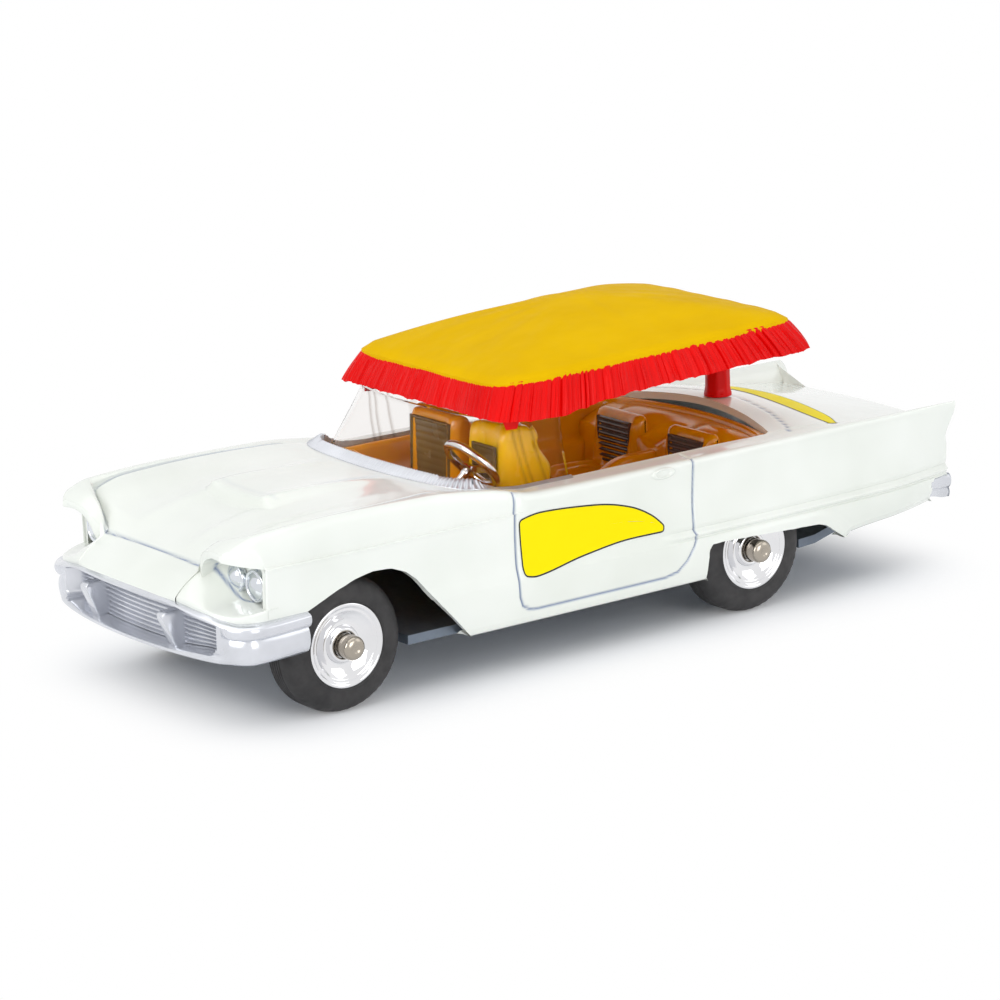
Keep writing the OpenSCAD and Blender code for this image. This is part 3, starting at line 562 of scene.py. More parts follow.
def trim(verts, faces, field):
    """Keeps the part of a mesh where field is positive, cutting faces along its zero line."""
    verts = [tuple(v) for v in verts]
    values = list(field)
    cuts, kept = {}, []

    def cut(a, b):
        key = (min(a, b), max(a, b))
        if key not in cuts:
            t = values[a] / (values[a] - values[b])
            t = min(max(t, 0.0), 1.0)
            p = [verts[a][k] + t * (verts[b][k] - verts[a][k]) for k in range(3)]
            verts.append(tuple(p))
            values.append(0.0)
            cuts[key] = len(verts) - 1
        return cuts[key]

    for f in faces:
        inside = [values[i] > 0 for i in f]
        if all(inside):
            kept.append(tuple(f))
        elif any(inside):
            poly = []
            for a, b in zip(f, f[1:] + f[:1]):
                if values[a] > 0:
                    poly.append(a)
                if (values[a] > 0) != (values[b] > 0):
                    poly.append(cut(a, b))
            if len(poly) > 2:
                kept.append(tuple(poly))
    used = sorted({i for f in kept for i in f})
    index = {old: new for new, old in enumerate(used)}
    return np.array([verts[i] for i in used]), [tuple(index[i] for i in f) for f in kept]


def smooth_field(field, near=0.12):
    """Puts points that lie very near the zero line on it, so that no slivers are cut."""
    field = np.array(field)
    field[np.abs(field) < near * 0.25] = 0.0
    return field


def body_skin():
    """Points and faces of the outer skin of the casting, with its shut lines engraved."""
    xs = stations()
    ys, zs, shut = section(xs)
    # end each line of the skin on the bowed nose and on the tail
    count, stops = ys.shape
    px = np.tile(xs, (count, 1))
    for i in range(count):
        x = xs.copy()
        ahead = xs > 40
        behind = xs < -40
        for _ in range(12):
            yy, zz = section(x)[:2]
            limit = front_edge(yy[i])
            high = limit[ahead][-1]
            x[ahead] = 40 + (xs[ahead] - 40) * (high - 40) / (xs[-1] - 40)
            low = tail_edge(yy[i], zz[i])[behind][0]
            x[behind] = -40 + (xs[behind] + 40) * (low + 40) / (xs[0] + 40)
        yy, zz = section(x)[:2]
        px[i], ys[i], zs[i] = x, yy[i], zz[i]
    points = np.stack([px, ys, zs], -1)
    # normals of the half skin
    du = np.gradient(points, axis=1)
    dv = np.gradient(points, axis=0)
    normal = np.cross(du, dv)
    normal /= np.linalg.norm(normal, axis=-1, keepdims=True) + 1e-12
    if normal[20, stops // 2, 1] < 0:
        normal = -normal
    # engraved lines
    bonnet = [(px[shut, k], ys[shut, k]) for k in range(stops) if 21.8 < px[shut, k] < NOSE - 4.9]
    bonnet.append((NOSE - 4.9, HALF_BODY - 8.9))
    bonnet.append((NOSE - 4.85, 0))
    top = np.arange(count)[:, None] >= shut - 8
    d = np.where(top, distance_to_path(px, ys, bonnet), 9)
    deck = np.where(top & (px < -20), distance_to_path(px, ys, DECK_SEAM), 9)
    flank = np.arange(count)[:, None] < shut - 2
    door = np.where(flank, distance_to_path(px, zs, DOOR_LINE), 9)
    depth = (0.22 * np.exp(-(d / 0.13)**2) + 0.20 * np.exp(-(door / 0.13)**2)
             + 0.16 * np.exp(-(deck / 0.15)**2))
    # raised lip round the rear wheel opening, with its soft edge line
    skirt = rounded([(-12.4, 5), (-12.5, 10.3), (-29.6, 10.3), (-33.6, 7.0), (-34.5, 4)], 2.6, 6)
    lip = signed_distance(px, zs, skirt + [(-34.5, 4)])
    raised = 0.20 * (1 - ramp(lip, -0.45, 0.25)) * flank * (px < -12.0)
    points = points - normal * depth[..., None] + normal * raised[..., None]
    return points, shut


def groove_shade(verts):
    """How deep in an engraved line each point lies, for the grey-blue painted shade put into the lines."""
    x, y, z = verts[:, 0], np.abs(verts[:, 1]), verts[:, 2]
    xs = np.linspace(21.8, NOSE - 4.9, 120)
    bonnet = list(zip(xs, curve(SHUT_Y, xs))) + [(NOSE - 4.9, HALF_BODY - 8.9), (NOSE - 4.85, 0)]
    top = z > curve(CREASE_Z, x) + 0.6
    d = np.where(top | (x > 44), distance_to_path(x, y, bonnet), 9)
    d = np.where(y < 15.8, d, 9)
    door = np.where(y > HALF_BODY - 2.0, distance_to_path(x, z, DOOR_LINE), 9)
    deck = np.where(top & (x < -20), distance_to_path(x, y, DECK_SEAM), 9)
    scoop = np.where((y < 5.3) & (z > CREASE), np.abs(x - SCOOP_EDGE + 0.8), 9)
    return (np.exp(-(d / 0.13)**2) + np.exp(-(door / 0.13)**2) + np.exp(-(deck / 0.12)**2)
            + 0.6 * np.exp(-(scoop / 0.14)**2))


def build_body(points, shut, material):
    """The whole casting as one mesh: skin, headlamp pods, nose and rear panel."""
    count, stops = points.shape[:2]
    half = points.reshape(-1, 3)
    left = grid_faces(count, stops)
    probe = make_object("probe", half, left, "car", material)
    tree = surface_of(probe)
    bpy.data.objects.remove(probe)
    verts = np.concatenate([half, half * [1, -1, 1]])
    faces = left + [tuple(len(half) + i for i in reversed(f)) for f in left]
    for outline in (FRONT_ARCH, REAR_ARCH, REAR_CUT):
        field = signed_distance(verts[:, 0], verts[:, 2], outline)
        if outline is REAR_ARCH:
            field = np.where(np.abs(verts[:, 1]) > 9.0, field, 9.0)
        if outline is FRONT_ARCH:
            # round the arch the edge stays clear of the bonnet and the nose
            field = np.where((np.abs(verts[:, 1]) > 9.0) | (verts[:, 2] < 13.2), field, 9.0)
        verts, faces = trim(verts, faces, smooth_field(field))
    field = signed_distance(verts[:, 0], verts[:, 1], cabin_outline())
    field = np.where(verts[:, 2] > 17.5, field, 9.0)
    verts, faces = trim(verts, faces, smooth_field(field))
    field = signed_distance(verts[:, 0], np.abs(verts[:, 1]), opening_plan())
    field = np.where((verts[:, 2] > 13.0) & (verts[:, 0] > 46), field, 9.0)
    verts, faces = trim(verts, faces, smooth_field(field))
    skin = make_object("skin", verts, faces, "car", material, sharp=50)
    parts = [skin, build_rims(skin, material), build_nose(points, shut, material),
             build_tail(points, material)]
    for s in (1, -1):
        parts += build_pod(points, tree, s, material)
    body = join(parts, "body_casting")
    bm = bmesh.new()
    bm.from_mesh(body.data)
    bmesh.ops.remove_doubles(bm, verts=bm.verts, dist=0.012 * MM)
    bmesh.ops.recalc_face_normals(bm, faces=bm.faces)
    high = max(bm.faces, key=lambda f: f.calc_center_median().z)
    if high.normal.z < 0:
        bmesh.ops.reverse_faces(bm, faces=bm.faces)
    limit = math.radians(42)
    for f in bm.faces:
        f.smooth = True
    for e in bm.edges:
        e.smooth = len(e.link_faces) != 2 or e.calc_face_angle(0) < limit
    bm.to_mesh(body.data)
    bm.free()
    co = np.array([v.co for v in body.data.vertices]) / MM
    # painted shade: the 'groove' attribute tells the body paint where to darken the engraved lines grey-blue
    shade = body.data.attributes.new("groove", "FLOAT", "POINT")
    shade.data.foreach_set("value", groove_shade(co).astype(np.float32))
    return body


def build_rims(skin, material):
    """Turns the open edges of the arches, sills and cabin opening inwards, as a casting's wall."""
    bm = bmesh.new()
    bm.from_mesh(skin.data)
    bmesh.ops.remove_doubles(bm, verts=bm.verts, dist=0.012 * MM)
    for v in bm.verts:
        v.normal_update()
    edges = [e for e in bm.edges if len(e.link_faces) == 1]
    verts, faces = [], []
    for e in edges:
        a, b = e.verts
        ca, cb = np.array(a.co) / MM, np.array(b.co) / MM
        mid = (ca + cb) / 2
        if mid[0] > 46.5 or mid[0] < TAIL + 2.2 or abs(mid[1]) < 0.02 and mid[0] > 30:
            continue
        quad = []
        for c, v in ((ca, a), (cb, b)):
            n = np.array(v.normal)
            if np.dot(n, [0, np.sign(c[1]), 1.0]) < 0:
                n = -n
            inside = c - n * 0.85
            inside[2] = max(inside[2], float(curve(LOW_Z, c[0])) + 0.03)
            quad.append((c, inside))
        start = len(verts)
        verts += [quad[0][0], quad[1][0], quad[1][1], quad[0][1]]
        faces.append((start, start + 1, start + 2, start + 3))
    bm.free()
    return make_object("rims", verts, faces, "car", material, sharp=60)


# ---------------------------------------------------------------- headlamp pods and nose

POD_INNER = 9.45
HOOD_TIP = 15.35
OPENING = [(9.4, 47.9), (10.0, 48.15), (10.4, 48.45), (11.0, 48.65), (12.0, 48.8), (13.2, 48.95),
           (14.6, 49.05), (HOOD_TIP, 49.2)]
OPENING_Z = [(9.4, 15.3), (10.1, 15.6), (10.5, 16.3), (11.0, 17.2), (11.6, 17.8), (12.4, 18.2),
             (13.6, 18.5), (15.4, 18.4),
             (16.2, 18.2), (17.0, 17.9), (17.8, 17.5)]


def opening_plan():
    """Plan of the part of the skin that is cut away over a headlamp pod, left side."""
    ys = np.linspace(HOOD_TIP, 9.48, 30)
    return [(float(curve([(y, x) for y, x in OPENING], y)) + 0.03, float(y)) for y in ys] + [(60, 9.48),
                                                                                             (60, HOOD_TIP)]


def lamp_wall(y):
    """Where the wall that carries the headlamps stands."""
    return 44.85 + (15.6 - y) * 0.12


LEDGE_END = 17.9


def ledge_edge(y):
    """Front of the ledge below the lamps: it fills out to the bumper and rounds its corner."""
    return POD_EDGE + (bumper_front(y) - 0.9 - POD_EDGE) * np.sqrt(np.maximum(1
                                                                              - (np.abs(y) / LEDGE_END)**20,
                                                                              0))


def ledge_height(x, y):
    """Height of the nose in front of the lamps: it runs on from the nose panel and flattens outwards."""
    nose = curve(SHUT_Z, x)
    flat = 13.95 - 0.6 * ramp(y, 12.5, 17.4) - 0.35 * np.clip((x - 45.6) / 3.0, 0, 1.2)
    w = ramp(y, POD_INNER - 0.4, 14.2)
    return nose * (1 - w) + flat * w


def pod_back(y):
    """Back of the hollow: the lamp wall, curving forward at its inner end."""
    return lamp_wall(y) + (47.75 - lamp_wall(10.0)) * ramp(y, 11.9, 10.0)


def build_pod(points, tree, side, material):
    """Hollow under the hood of a fender: rolled lip, lamp wall and the ledge that runs out from it."""
    rim = points[:, -1]
    first = next(i for i in range(len(rim)) if rim[i, 2] > FENDER_FOOT + 0.1)
    last = next(i for i in range(first, len(rim)) if rim[i, 1] < HOOD_TIP)
    loop, lip, back = [], [], []
    for p in rim[first:last]:
        top = float(ramp(p[2], 17.5, 18.6))
        zr = min(p[2] - 0.1, float(curve(OPENING_Z, p[1])))
        opening = (p[0] + 0.02, p[1] - 0.22 * (1 - top), p[2] * (1 - top) + zr * top)
        y = min(opening[1] - 0.05, LEDGE_END - 0.1)
        loop.append(tuple(p))
        lip.append(opening)
        back.append((min(pod_back(y), p[0] - 0.05), y, max(opening[2] - 0.2, 13.7)))
    for y in np.linspace(HOOD_TIP - 0.05, 9.5, 44):
        x = float(curve(OPENING, y))
        hit = drop(tree, (x, y, 30), (0, 0, -1))
        z = hit[2] if hit is not None else float(np.interp(-y, -rim[first:, 1], rim[first:, 2]))
        zr = min(z - 0.05, float(curve(OPENING_Z, y)))
        loop.append((x, y, z))
        lip.append((x + 0.03, y, zr))
        yb = max(y, 10.1)
        back.append((pod_back(yb), yb, max(zr - 0.15, 13.9)))
    loop, lip, back = np.array(loop), np.array(lip), np.array(back)
    bulge = np.array([0.07, 0, 0])
    rows = [loop, loop * 0.85 + lip * 0.15 + bulge, loop * 0.55 + lip * 0.45 + bulge * 1.6,
            loop * 0.2 + lip * 0.8 + bulge * 1.2, lip]
    for t in (0.06, 0.2, 0.4, 0.6, 0.8, 0.94, 1.0):
        rows.append(np.concatenate([lip[:, :1] + (back[:, :1] - lip[:, :1]) * t,
                                    lip[:, 1:] + (back[:, 1:] - lip[:, 1:]) * t**1.5], 1))
    for t in (0.06, 0.3, 0.6, 1.0):
        z = back[:, 2] + (13.4 - back[:, 2]) * t
        rows.append(np.stack([back[:, 0], back[:, 1], z], -1))
    rows = np.array(rows) * [1, side, 1]
    name = "left" if side > 0 else "right"
    hood = make_object(f"pod_{name}", rows.reshape(-1, 3), grid_faces(*rows.shape[:2]), "car",
                       material, sharp=40)
    ys = np.concatenate([np.linspace(POD_INNER - 0.05, 12, 22)[:-1], np.linspace(12, 16.5, 20)[:-1],
                         LEDGE_END - (LEDGE_END - 16.5) * np.linspace(1, 0, 18)**2])
    rows = []
    for y in ys:
        x0 = min(pod_back(max(y, 10.0)) - 0.35, float(curve(OPENING, min(y, HOOD_TIP))) - 0.05)
        x1 = float(ledge_edge(y))
        row = []
        for t in np.linspace(0, 1, 30):
            x = x0 + (x1 - x0) * t
            row.append((x, y, float(ledge_height(x, y)) - 0.10 * t**12))
        for dx, f in ((0.05, 0.12), (0.06, 0.4), (0.0, 0.7), (-0.15, 1.0)):
            z = row[29][2]
            row.append((x1 + dx, y, z + (bumper_top(y) - 0.45 - z) * f))
        rows.append(row)
    rows = np.array(rows) * [1, side, 1]
    ledge = make_object(f"ledge_{name}", rows.reshape(-1, 3), grid_faces(*rows.shape[:2]), "car",
                        material, sharp=60)
    return [hood, ledge]


def build_nose(points, shut, material):
    """The short lip that closes the nose down to the bumper."""
    edge = points[shut:, -1]
    full = np.concatenate([edge, (edge * [1, -1, 1])[::-1][1:]])
    rows = [full]
    for dx, f in ((0.05, 0.12), (0.06, 0.4), (0.0, 0.7), (-0.15, 1.0)):
        p = full.copy()
        p[:, 0] += dx
        p[:, 2] += (bumper_top(p[:, 1]) - 0.45 - p[:, 2]) * f
        rows.append(p)
    rows = np.array(rows)
    return make_object("nose_lip", rows.reshape(-1, 3), grid_faces(len(rows), rows.shape[1]), "car",
                       material, sharp=60)


def build_tail(points, material):
    """Rear panel between the fins, set in behind their edges, with a step for the lamps."""
    edge = points[:, 0]
    keep = [k for k in range(len(edge)) if edge[k, 2] > 8.0 or k > 10]
    edge = edge[keep[0]:]
    full = np.concatenate([edge, (edge * [1, -1, 1])[::-1][1:]])
    low = np.linspace(full[-1], full[0], 40)[1:-1]
    loop = np.concatenate([full, low])
    middle_z = 13.2
    rows = [loop]
    span = np.stack([np.zeros(len(loop)), -loop[:, 1], middle_z - loop[:, 2]], -1)
    length = np.linalg.norm(span, axis=1, keepdims=True)
    unit = span / length
    for inset, depth in ((0.10, 0.02), (0.3, 0.2), (0.45, 0.7), (0.6, 1.0)):
        p = loop + unit * inset
        p[:, 0] = np.maximum(loop[:, 0] + depth, TAIL + 1.7) if depth > 0.5 else loop[:, 0] + depth
        rows.append(p)
    for t in (0.05, 0.3, 0.6, 0.85, 0.99):
        p = rows[5 - 1] + span * t * (1 - 0.6 / length)
        p[:, 0] = TAIL + 1.9 + 0.25 * math.cos(math.pi / 2 * t)
        rows.append(p)
    rows = np.array(rows)
    return make_object("tail_panel", rows.reshape(-1, 3), grid_faces(len(rows), len(loop), close_cols=True),
                       "car", material, sharp=50)


def build_lamp(name, x, y, z, radius, facing, material, dome=0.55, wall=0.5):
    """A round lamp: bright rim, groove and domed lens."""
    profile = [(radius, -wall), (radius, 0.12), (radius - 0.07, 0.2), (radius - 0.17, 0.2),
               (radius - 0.24, 0.1),
               (radius - 0.30, 0.08)]
    inner = radius - 0.30
    for k in range(1, 9):
        r = inner * (1 - k / 9)
        profile.append((r, 0.08 + dome * (1 - (r / inner)**2)))
    profile.append((0.0, 0.08 + dome))
    steps = 48
    verts = []
    for k in range(steps):
        a = 2 * math.pi * k / steps
        for r, out in profile:
            verts.append((x + facing * out, y + r * math.cos(a), z + r * math.sin(a)))
    faces = grid_faces(steps, len(profile), close_rows=True)
    return make_object(name, verts, faces, "car", material, sharp=45)


# ---------------------------------------------------------------- bumpers and grille

def bumper_front(y, half=None):
    """Front face of the bumper at y, seen from above."""
    t = np.minimum(np.abs(y) / (half or HALF_BUMPER), 1)
    return NOSE - 2.6 * t**2 - 1.8 * t**10


def bumper_top(y):
    """Top of the bumper at y: arched over the grille, lower round the corners."""
    return BUMPER_TOP + 0.7 * ramp(np.abs(y), 15, 7) - 0.85 * ramp(np.abs(y), 13.5, 18)


def bumper_height(z, y):
    """Height in the bumper at y of the level that is at z in its plain section."""
    low = GRILLE_LOW - 0.3 * ramp(np.abs(y), 13, 8)
    top = GRILLE_TOP + 1.0 * ramp(np.abs(y), 15, 8) - 0.55 * ramp(np.abs(y), 13.5, 18)
    return np.interp(z, [BUMPER_LOW, GRILLE_LOW, GRILLE_TOP, BUMPER_TOP],
                     [BUMPER_LOW + 0.1, low, top, float(bumper_top(y))])


def bumper_path(inset=0.0):
    """Path round the bumper from its left end to its right end: points and outward normals."""
    half = HALF_BUMPER - inset
    ys = half * np.sin(np.linspace(math.pi / 2, -math.pi / 2, 171))
    front = [(bumper_front(y, half) - inset, y) for y in ys]
    xs = np.linspace(BUMPER_END, front[0][0] - 0.15, 22)
    path = [(x, half - 0.75 * ((front[0][0] - x) / 8)**2) for x in xs] + front \
        + [(x, -half + 0.75 * ((front[0][0] - x) / 8)**2) for x in xs[::-1]]
    p = np.array(path)
    # space the points evenly and round the corners off
    d = np.concatenate([[0], np.cumsum(np.linalg.norm(np.diff(p, axis=0), axis=1))])
    even = np.linspace(0, d[-1], 241)
    p = np.stack([np.interp(even, d, p[:, k]) for k in (0, 1)], -1)
    for _ in range(26):
        p[1:-1] = (p[:-2] + 2 * p[1:-1] + p[2:]) / 4
    t = np.gradient(p, axis=0)
    n = np.stack([-t[:, 1], t[:, 0]], -1)
    n /= np.linalg.norm(n, axis=1, keepdims=True)
    if n[len(n) // 2, 0] < 0:
        n = -n
    return p, n


HALF_GRILLE = 14.9
GRILLE_LOW, GRILLE_TOP = 8.75, 12.45


def build_bumper(material):
    path, normal = bumper_path()
    low, top = BUMPER_LOW, BUMPER_TOP
    # the section: height and depth in from the outermost face, for the solid ends
    zs = np.unique(np.concatenate([np.linspace(low, GRILLE_LOW - 0.1, 9),
                                   np.linspace(GRILLE_LOW - 0.1, GRILLE_LOW + 0.1, 5),
                                   np.linspace(GRILLE_LOW + 0.1, GRILLE_TOP - 0.1, 26),
                                   np.linspace(GRILLE_TOP - 0.1, GRILLE_TOP + 0.1, 5),
                                   np.linspace(GRILLE_TOP + 0.1, top, 10)]))
    rows = []
    for (x, y), (nx, ny) in zip(path, normal):
        end = float(ramp(abs(y), HALF_GRILLE + 0.2, HALF_GRILLE + 2.2))
        ring = []
        # inner face, from the top down to the underside
        depth_in = 3.7 - 2.1 * end
        for zz in zs:
            # two stacked rolls at the ends, a thin bar above and below the grille between them
            upper = 1 - ((zz - 12.0) / 1.15)**2
            lower = 1 - ((zz - 9.6) / 1.65)**2
            rolls = max(0.0, upper)**0.5 * 0.95 if zz > 10.95 else max(0.0, lower)**0.5 * 0.62
            face_end = 0.95 - rolls
            bar = 0.12 + 1.3 * max(0.0, (zz - 12.55) / 0.55)**2 if zz > GRILLE_TOP - 0.05 else \
                0.45 + 0.5 * (1 - max(0.0, 1 - ((zz - 8.35) / 0.62)**2))
            opening = float(ramp(HALF_GRILLE - abs(y), 0.0, 0.35))
            corner = (max(0, abs(y) - (HALF_GRILLE - 0.9)) / 0.9)**2
            lo, hi = GRILLE_LOW + 0.7 * corner, GRILLE_TOP - 0.5 * corner
            hollow = float(ramp(zz, lo - 0.05, lo + 0.12) * ramp(zz, hi + 0.05, hi - 0.12)) * opening
            depth = (face_end * end + bar * (1 - end)) * (1 - hollow) + 3.3 * hollow
            ring.append((x - nx * depth, y - ny * depth, bumper_height(zz, y)))
        # close round the back
        high = float(bumper_top(y))
        ring.append((x - nx * 1.4, y - ny * 1.4, high))
        ring.append((x - nx * depth_in, y - ny * depth_in, high - 0.3))
        ring.append((x - nx * depth_in, y - ny * depth_in, low + 0.25))
        ring.append((x - nx * 0.9, y - ny * 0.9, low + 0.1))
        rows.append(ring)
    rows = np.array(rows)
    n, m = rows.shape[:2]
    faces = grid_faces(n, m, close_cols=True)
    faces.append(tuple(range(m)))
    faces.append(tuple((n - 1) * m + j for j in range(m - 1, -1, -1)))
    return make_object("bumper_front_silver", rows.reshape(-1, 3), faces, "car", material,
                       sharp=42)


def build_grille(material):
    """Ribbed panel at the back of the opening."""
    path, normal = bumper_path(0)
    keep = [k for k in range(len(path)) if abs(path[k][1]) < HALF_GRILLE + 0.3]
    zs, ds = [], []
    ribs = 10
    pitch = (GRILLE_TOP - GRILLE_LOW) / ribs
    for k in range(ribs):
        z = GRILLE_LOW + pitch * k
        for f, d in ((0.04, 3.0), (0.16, 2.98), (0.28, 2.72), (0.42, 2.6), (0.6, 2.6), (0.74, 2.72),
                     (0.88, 2.98)):
            zs.append(z + pitch * f)
            ds.append(d)
    zs.append(GRILLE_TOP)
    ds.append(3.0)
    rows = [[(path[k][0] - normal[k][0] * d, path[k][1] - normal[k][1] * d, bumper_height(z, path[k][1]))
             for z, d in zip(zs, ds)] for k in keep]
    rows = np.array(rows)
    return make_object("grille_ribs", rows.reshape(-1, 3), grid_faces(len(rows), rows.shape[1]), "car",
                       material, sharp=50)


def build_guard(s, material):
    """Wedge-shaped guard with a bright folded front edge."""
    y0 = s * 7.5
    half = 0.62
    outline = [(48.0, 8.1), (50.2, 8.1), (50.6, 8.4), (51.9, 11.4), (51.95, 11.9), (51.6, 12.2), (48.0, 12.3)]
    out = rounded(outline, 0.16, 2)
    def ring(y, shrink, dx=0.0):
        c = np.mean(out, axis=0)
        return [(c[0] + (x - c[0]) * (1 - shrink) + dx, y, c[1] + (z - c[1]) * (1 - shrink)) for x, z in out]
    rings = [ring(y0 - half, 0.05), ring(y0 - half + 0.03, 0.02), ring(y0 - half + 0.12, 0.0),
             ring(y0 + half - 0.12, 0.0),
             ring(y0 + half - 0.03, 0.02), ring(y0 + half, 0.05)]
    n = len(out)
    verts = [p for r in rings for p in r]
    faces = grid_faces(len(rings), n, close_cols=True)
    faces += [tuple(range(n)), tuple((len(rings) - 1) * n + j for j in range(n))]
    return make_object(f"guard_{'left' if s > 0 else 'right'}", verts, faces, "car",
                       material, sharp=40)


def build_rear_bumper(material):
    half = curve(SIDE_Y, TAIL) + 0.7
    ys = half * np.sin(np.linspace(math.pi / 2, -math.pi / 2, 71))
    front = [(TAIL + 1.5 * (abs(y) / half)**4, y) for y in ys]
    ends = np.linspace(box_mm("rear_bumper")[1][0], front[0][0] + 0.2, 14)
    path = [(x, half + 0.9 * ramp(x, TAIL + 1, TAIL + 6)) for x in ends] + front \
        + [(x, -half - 0.9 * ramp(x, TAIL + 1, TAIL + 6)) for x in ends[::-1]]
    p = np.array(path, float)
    t = np.gradient(p, axis=0)
    n = np.stack([t[:, 1], -t[:, 0]], -1)
    n /= np.linalg.norm(n, axis=1, keepdims=True)
    if n[len(n) // 2, 0] > 0:
        n = -n
    low, top = box_mm("rear_bumper")[0][2], REAR_BUMPER_TOP
    rows = []
    for (x, y), (nx, ny) in zip(p, n):
        fade = float(ramp(x, TAIL + 2, TAIL + 5.5)) if abs(y) > half - 0.5 else 0.0
        lo = low + 0.7 * fade
        ring = []
        for t_ in np.linspace(0, 1, 22):
            z = lo + (top - lo) * t_
            upper = max(0.0, 1 - ((t_ - 0.68) / 0.34)**2)**0.5 * 0.6
            lower = max(0.0, 1 - ((t_ - 0.18) / 0.26)**2)**0.5 * 0.4
            d = 0.6 - max(upper, lower)
            ring.append((x - nx * d, y - ny * d, z))
        ring.append((x - nx * 1.5, y - ny * 1.5, top - 0.05))
        ring.append((x - nx * 1.5, y - ny * 1.5, lo + 0.05))
        rows.append(ring)
    rows = np.array(rows)
    a, m = rows.shape[:2]
    faces = grid_faces(a, m, close_cols=True)
    faces += [tuple(range(m)), tuple((a - 1) * m + j for j in range(m - 1, -1, -1))]
    return make_object("bumper_rear_silver", rows.reshape(-1, 3), faces, "car", material,
                       sharp=42)


# ---------------------------------------------------------------- wheels

def build_wheel(name, x, side, body, rubber_mat, chrome):
    centre = (x, 0, TYRE_RADIUS)
    out = HUB_FACE
    r = TYRE_RADIUS
    bead = 4.55
    profile = []
    # tyre: from the outer bead over the wall and the tread to the inner bead
    profile += [(bead - 0.1, out - 0.35), (bead, out - 0.12), (bead + 0.12, out - 0.05),
                (bead + 0.22, out - 0.13),
                (bead + 0.4, out - 0.2), (bead + 1.0, out - 0.2), (bead + 1.45, out - 0.22),
                (r - 0.95, out - 0.34),
                (r - 0.55, out - 0.55), (r - 0.28, out - 0.85), (r - 0.12, out - 1.15), (r - 0.03, out - 1.5)]
    for k in range(5):
        w = out - 1.62 - 0.42 * k
        profile += [(r, w), (r, w - 0.2), (r - 0.09, w - 0.25), (r - 0.09, w - 0.37)]
    profile += [(r, out - 3.75), (r - 0.12, out - 3.9), (r - 0.4, out - 3.98), (bead, out - 4.0),
                (bead - 0.1, out - 3.8)]
    steps = 192
    verts = []
    for k in range(steps):
        a = 2 * math.pi * k / steps
        for rad, w in profile:
            nick = 0.0
            if rad > r - 0.6 and rad < r - 0.02 and w > out - 1.3:
                nick = -0.05 * (0.5 + 0.5 * math.cos(a * 48))
            verts.append((centre[0] + (rad + nick) * math.cos(a), side * w,
                          centre[2] + (rad + nick) * math.sin(a)))
    tyre = make_object(f"tyre_{name}_rubber", verts,
                       grid_faces(steps, len(profile), close_rows=True, close_cols=True),
                       body, rubber_mat, sharp=38)
    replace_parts(tyre, f"tyre_{name}")
    o = out
    hub_profile = [(bead - 0.02, o - 3.6), (bead - 0.02, o - 0.14), (bead - 0.1, o - 0.03),
                   (bead - 0.22, o), (bead - 0.36, o - 0.05),
                   (bead - 0.5, o - 0.2), (bead - 0.62, o - 0.27), (bead - 0.78, o - 0.24),
                   (bead - 0.95, o - 0.33), (bead - 1.1, o - 0.5),
                   (bead - 1.45, o - 0.66), (2.75, o - 0.86), (2.45, o - 1.0), (2.2, o - 1.03),
                   (2.05, o - 0.97),
                   (1.93, o - 0.7), (1.82, o - 0.42), (1.7, o - 0.34), (1.55, o - 0.34), (1.44, o - 0.42),
                   (1.38, o - 0.75), (1.0, o - 0.8),
                   (1.0, o - 3.6)]
    hub = revolve(f"hub_{name}_plated", hub_profile, centre, side, body, chrome, steps=128,
                  sharp=40)
    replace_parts(hub, f"hub_{name}")
    return tyre, hub


def build_axle(name, x, material):
    """Plain steel axle with its two domed heads."""
    centre = (x, 0, TYRE_RADIUS)
    tip = box_mm(f"{name}_axle")[1][1]
    head = 1.3
    half = [(0.9, 0.0), (0.9, tip - 2.25), (head - 0.12, tip - 2.25), (head, tip - 2.1), (head, tip - 0.55),
            (head - 0.06, tip - 0.38),
            (head - 0.22, tip - 0.18), (head - 0.5, tip - 0.06), (0.55, tip), (0.42, tip - 0.05),
            (0.3, tip - 0.12), (0.0, tip - 0.14)]
    profile = [(r, w) for r, w in reversed([(r, -w) for r, w in half[1:]])] + half[1:]
    return revolve(f"axle_{name}_steel", profile, centre, 1, "car", material, steps=64, sharp=40,
                   closed=False)


# ---------------------------------------------------------------- canopy

CANOPY_X = float(np.mean([box_mm("canopy_fringe")[k][0] for k in (0, 1)]))
CANOPY_HALF_X = float((box_mm("canopy_fringe")[1][0] - box_mm("canopy_fringe")[0][0]) / 2)
CANOPY_HALF_Y = float(box_mm("canopy_fringe")[1][1])
CANOPY_Z = float(box_mm("canopy_fringe")[0][2])
FRINGE_HEIGHT, FRINGE_FLARE, TILT, DOME = 3.4, 1.4, 0.03, 4.07


def canopy_rise(x):
    return (CANOPY_X + CANOPY_HALF_X - x) * TILT


def ring_xy(a, grow, k=15.0):
    """Point of the canopy's outline, a rectangle with rounded corners."""
    c, s = np.cos(a), np.sin(a)
    hx, hy = CANOPY_HALF_X + grow, CANOPY_HALF_Y + grow
    r = (np.abs(c / hx)**k + np.abs(s / hy)**k)**(-1 / k)
    return CANOPY_X + r * c, r * s


def outline_angles(n, grow, k=15.0):
    """Angles that space n points evenly along the outline."""
    fine = np.linspace(0, 2 * math.pi, 6001)
    x, y = ring_xy(fine, grow, k)
    length = np.concatenate([[0], np.cumsum(np.hypot(np.diff(x), np.diff(y)))])
    return np.interp(np.linspace(0, length[-1], n, endpoint=False), length, fine), length[-1]


